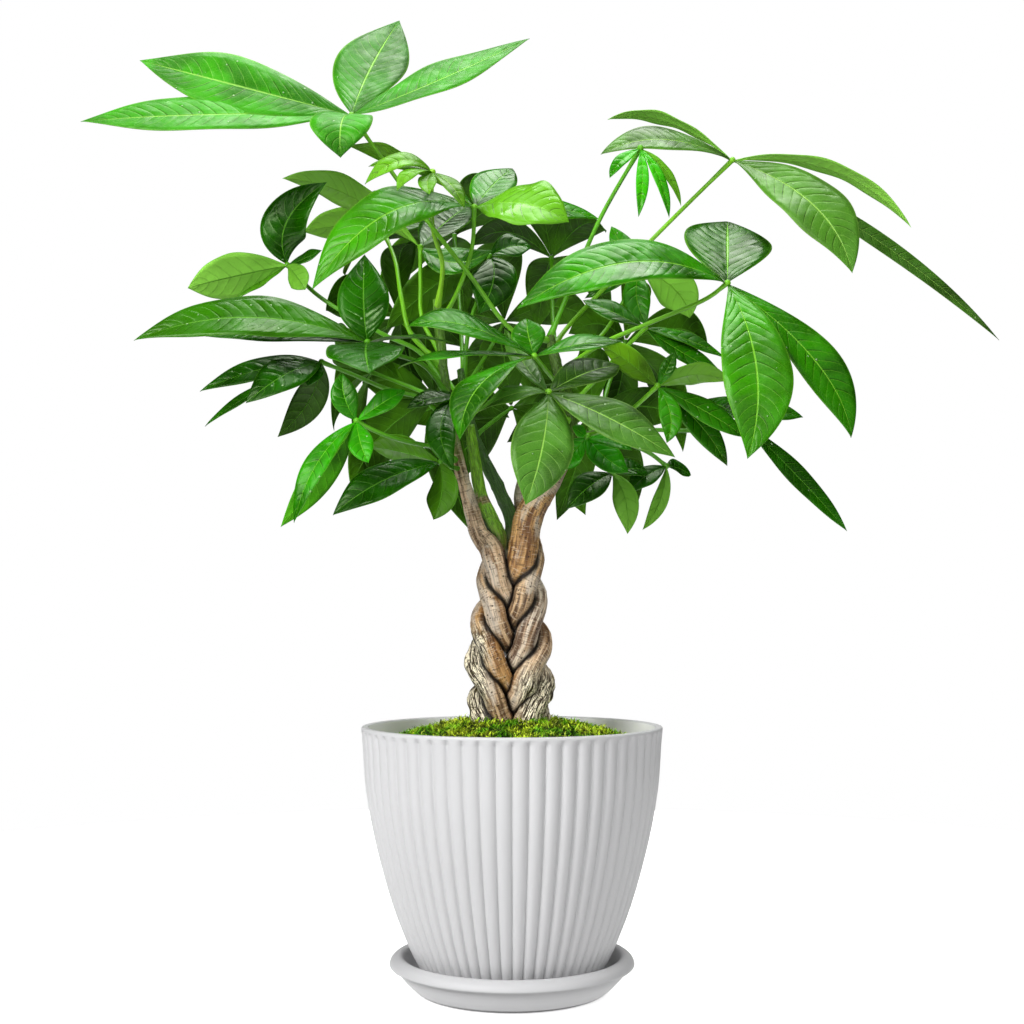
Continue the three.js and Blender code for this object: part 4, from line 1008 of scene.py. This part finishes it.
def blade_grid(root, tip, bend, half, facing, own):
    """Upper and lower grids of points of a blade, with their marks."""
    control = 2 * bend - 0.5 * (root + tip)
    length = np.linalg.norm(tip - bend) + np.linalg.norm(bend - root)
    along = np.linspace(ROOT_START / length, 1, BLADE_ROWS)[:, None]
    centre = (1 - along) ** 2 * root + 2 * along * (1 - along) * control + along**2 * tip
    tangent = unit(2 * (1 - along) * (control - root) + 2 * along * (tip - control))
    normal = unit(facing - tangent * (tangent @ facing)[:, None])
    side = np.cross(tangent, normal)
    u = np.linspace(-1, 1, 2 * BLADE_COLUMNS + 1)[None, :]
    across = np.sign(u) * np.abs(u) ** COLUMN_CROWDING
    edge = np.abs(across)
    width = half * outline(along, *(BROAD_OUTLINE if half >= BROAD_HALF else SLIM_OUTLINE))
    ripple = np.sin(along * (9 + 5 * own) + own * 40 + across * 1.2)
    ripple = RIPPLE * half * ripple * edge**2 * np.sin(math.pi * along)
    lift = BLADE_FOLD * edge * width + ripple - MARGIN_DROOP * width * edge**3
    passed = veins_passed(along, edge, half, length)
    wave = np.abs(np.sin(math.pi * (passed + 0.15))) ** QUILT_POWER
    quilt = QUILTING * half * (wave - 0.6) * np.sqrt(np.clip(width / half, 0, 1)) * (1 - edge**4)
    groove = -GROOVE_DEPTH * np.exp(-((edge * width / GROOVE_WIDTH) ** 2))
    midrib = MIDRIB_DEPTH * np.exp(-((edge * width / MIDRIB_WIDTH) ** 2)) * (1 - along)
    thickness = BLADE_THICKNESS * (1 - MARGIN_THINNING * edge) + midrib
    base = centre[:, None, :] + side[:, None, :] * (across * width)[..., None]
    upper = base + normal[:, None, :] * (lift + quilt + groove)[..., None]
    lower = base + normal[:, None, :] * (lift + quilt - thickness)[..., None]
    marks = np.stack([np.broadcast_to(v, upper.shape[:2]) for v in (passed, across, own)], -1)
    return upper, lower, marks


def add_blade(builder, blade):
    """Both faces of a blade and the narrow band round its rim."""
    upper, lower, marks = blade_grid(*blade)
    rows, columns = upper.shape[:2]
    faces = grid_faces(rows, columns, False)
    left = builder.count + columns * np.arange(rows)
    top = np.concatenate([left, left[::-1] + columns - 1])
    after, shift = np.roll(top, -1), rows * columns
    builder.add(upper, marks, faces, slot=UPPER)
    builder.add(lower, marks, faces[:, ::-1], slot=UNDER)
    builder.join(np.stack([after, after + shift, top + shift, top], -1), UPPER)


def add_stalk(builder, hub, petiole):
    """A petiole with its swollen ends, and the knob that the blades grow from."""
    line = smooth_path([hub, *petiole], STALK_RINGS)
    radii = between(STALK_RADIUS, np.linspace(0, 1, len(line)))
    builder.add(*tube(line, radii, STALK_SIDES), slot=STALK)
    polar = np.linspace(KNOB_POLE, math.pi - KNOB_POLE, KNOB_RINGS)
    profile = [(KNOB_RADIUS * math.sin(p), -KNOB_RADIUS * math.cos(p)) for p in polar]
    knob, faces = lathe(profile, KNOB_SIDES)
    builder.add(hub + knob, 0, faces, slot=STALK)


def shown_leaf(number, leaf):
    tone, stem, hub, petiole, rows = leaf
    hub = seen(hub)
    blades = []
    for i, (tip, bend, half, up, cast, across) in enumerate(Blade(*row) for row in rows):
        own = draw(i + 0.37 * number)
        if cast:
            own = 1 + cast if cast > 0 else cast
        blades.append((hub, seen(tip), seen(bend), half, facing_of(across, up), own))
    return tone, hub, [*map(seen, petiole), on_stem(*stem)], blades


def rear_leaf(index):
    """A whorl whose blades spread round its axis, arch and hang."""
    hub, axis, length, stem = REAR_LEAVES[index]
    centre, facing = seen(hub), facing_of(*axis)
    level = unit(np.cross(UP, facing))
    rise = np.cross(facing, level)
    blades = []
    for i in range(REAR_BLADES):
        seed = index * REAR_BLADES + i
        angle = TURN * (i + 0.5 * draw(seed)) / REAR_BLADES
        reach = length * (REAR_REACH[0] + REAR_REACH[1] * draw(seed + 0.5))
        outward = level * math.cos(angle) + rise * math.sin(angle)
        bend, tip = (
            centre + outward * reach * out + facing * reach * forth - UP * reach * down
            for out, forth, down in (REAR_MIDDLE, REAR_TIP)
        )
        # Rear blades are darkened by a draw: painted shade deep in the crown.
        rear_shade = -REAR_SHADE_MOST * draw(seed + 0.25)
        blades.append((centre, tip, bend, reach * REAR_HALF, facing, rear_shade))
    root = on_stem(*stem)
    elbow = (centre + root) / 2 - REAR_ELBOW * facing
    return "deep", centre, [elbow, root], blades


def leaf_materials(tone):
    """A tone's materials, in the order of their numbers."""
    _, upper, under, vein, petiole, roughness, relief, mottle = TONES[tone]
    vein = srgb(*vein)
    return [
        blade_material(f"blade_{tone}_upper", srgb(*upper), vein, roughness, relief, mottle, False),
        blade_material(f"blade_{tone}_under", srgb(*under), vein, roughness + 0.2, relief, mottle, True),
        stalk_material(f"petiole_{tone}", srgb(*petiole)),
    ]


def make_leaf(name, materials, hub, petiole, blades):
    builder = Builder()
    for blade in blades:
        add_blade(builder, blade)
    add_stalk(builder, hub, petiole)
    return builder.make(name + "_blades", materials, "blade")


# Studio. Places and sizes here are in metres.

FLOOR_RADIUS = 0.75
FLOOR_SIDES = 96
FLOOR_GLOW = 0.7
FLOOR_WHITE = srgb(244, 244, 244)
VIEW_END = 20
AIM = (0, 0, 0.3)


def make_camera():
    data = bpy.data.cameras.new("camera")
    data.sensor_width = SENSOR_MM
    data.lens = FOCAL_PIXELS / FRAME_PIXELS * SENSOR_MM
    data.clip_end = VIEW_END
    camera = add_object("camera", data)
    camera.location = (0, -CAMERA_DISTANCE * MM, CAMERA_HEIGHT * MM)
    camera.rotation_euler = (math.pi / 2 + CAMERA_PITCH, 0, 0)
    bpy.context.scene.camera = camera


def area_light(name, place, size, watts, mirrored=False, matte=True, target=AIM):
    """A round light, which glossy surfaces mirror or don't, and which lights matte ones or doesn't."""
    data = bpy.data.lights.new(name, "AREA")
    data.shape = "DISK"
    data.size = size
    data.energy = watts
    light = add_object(name, data)
    light.location = place
    light.rotation_euler = (Vector(place) - Vector(target)).to_track_quat("Z", "Y").to_euler()
    light.visible_camera = False
    light.visible_glossy = mirrored
    light.visible_diffuse = matte


def make_floor():
    mesh = bpy.data.meshes.new("floor")
    corners = [(FLOOR_RADIUS * math.cos(a), FLOOR_RADIUS * math.sin(a), 0) for a in turns(FLOOR_SIDES)]
    mesh.from_pydata(corners, [], [range(FLOOR_SIDES)])
    g = Graph("floor")
    g.look("Emission Color", (1, 1, 1, 1))
    g.look("Emission Strength", FLOOR_GLOW)
    mesh.materials.append(g.finish(FLOOR_WHITE, 0.9, g.noise(g.place(), 40), 0.00001))
    floor = add_object("floor", mesh)
    floor.visible_diffuse = False


def make_studio():
    make_camera()
    make_floor()
    scene = bpy.context.scene
    scene.view_settings.view_transform = "Standard"
    scene.world = bpy.data.worlds.new("studio")
    scene.world.use_nodes = True
    sky = scene.world.node_tree.nodes["Background"]
    sky.inputs["Color"].default_value = (1, 1, 1, 1)
    scene.world.cycles_visibility.diffuse = False
    scene.world.cycles_visibility.glossy = False
    area_light("key", (-1.2, -1.1, 1.1), 1, 22)
    area_light("gloss", (-1.1, -1.1, 1.2), 1, 16, mirrored=True)
    area_light("fill", (1.3, -1.3, 0.9), 1.4, 14)
    area_light("sheen", (-0.5, -1.6, 1), 0.5, 9, mirrored=True, matte=False, target=(0, 0, 0.35))
    area_light("top", (0.1, 0.3, 1.9), 1.2, 22, mirrored=True)
    area_light("back", (0.6, 1.4, 0.9), 1.2, 13)
    area_light("front", (-0.2, -1.9, 0.7), 1.6, 12)
    area_light("bounce", (0, 0, 0.002), 1.5, 2.7, target=(0, 0, 1))


# Assembly


def place_piece(piece, slot, *nodes):
    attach(piece, "root")
    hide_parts(*nodes)


make_studio()
place_piece(make_pot(), "pot", "pot")
place_piece(make_saucer(), "saucer", "saucer")
place_piece(make_moss(), "moss", "moss")
for number, row in enumerate(STEMS):
    place_piece(make_stem(number, row), "bark", row.name)
soil_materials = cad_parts["soil"].data.materials
soil_materials.clear()
soil_materials.append(soil_material())
leaf_looks = {tone: leaf_materials(tone) for tone in TONES}
leaves = [shown_leaf(number, leaf) for number, leaf in enumerate(LEAVES, 1)]
leaves += [rear_leaf(index) for index in range(len(REAR_LEAVES))]
for number, (tone, *parts) in enumerate(leaves, 1):
    node = f"leaf_{number:02d}"
    place_piece(make_leaf(node, leaf_looks[tone], *parts), TONES[tone][0], node)
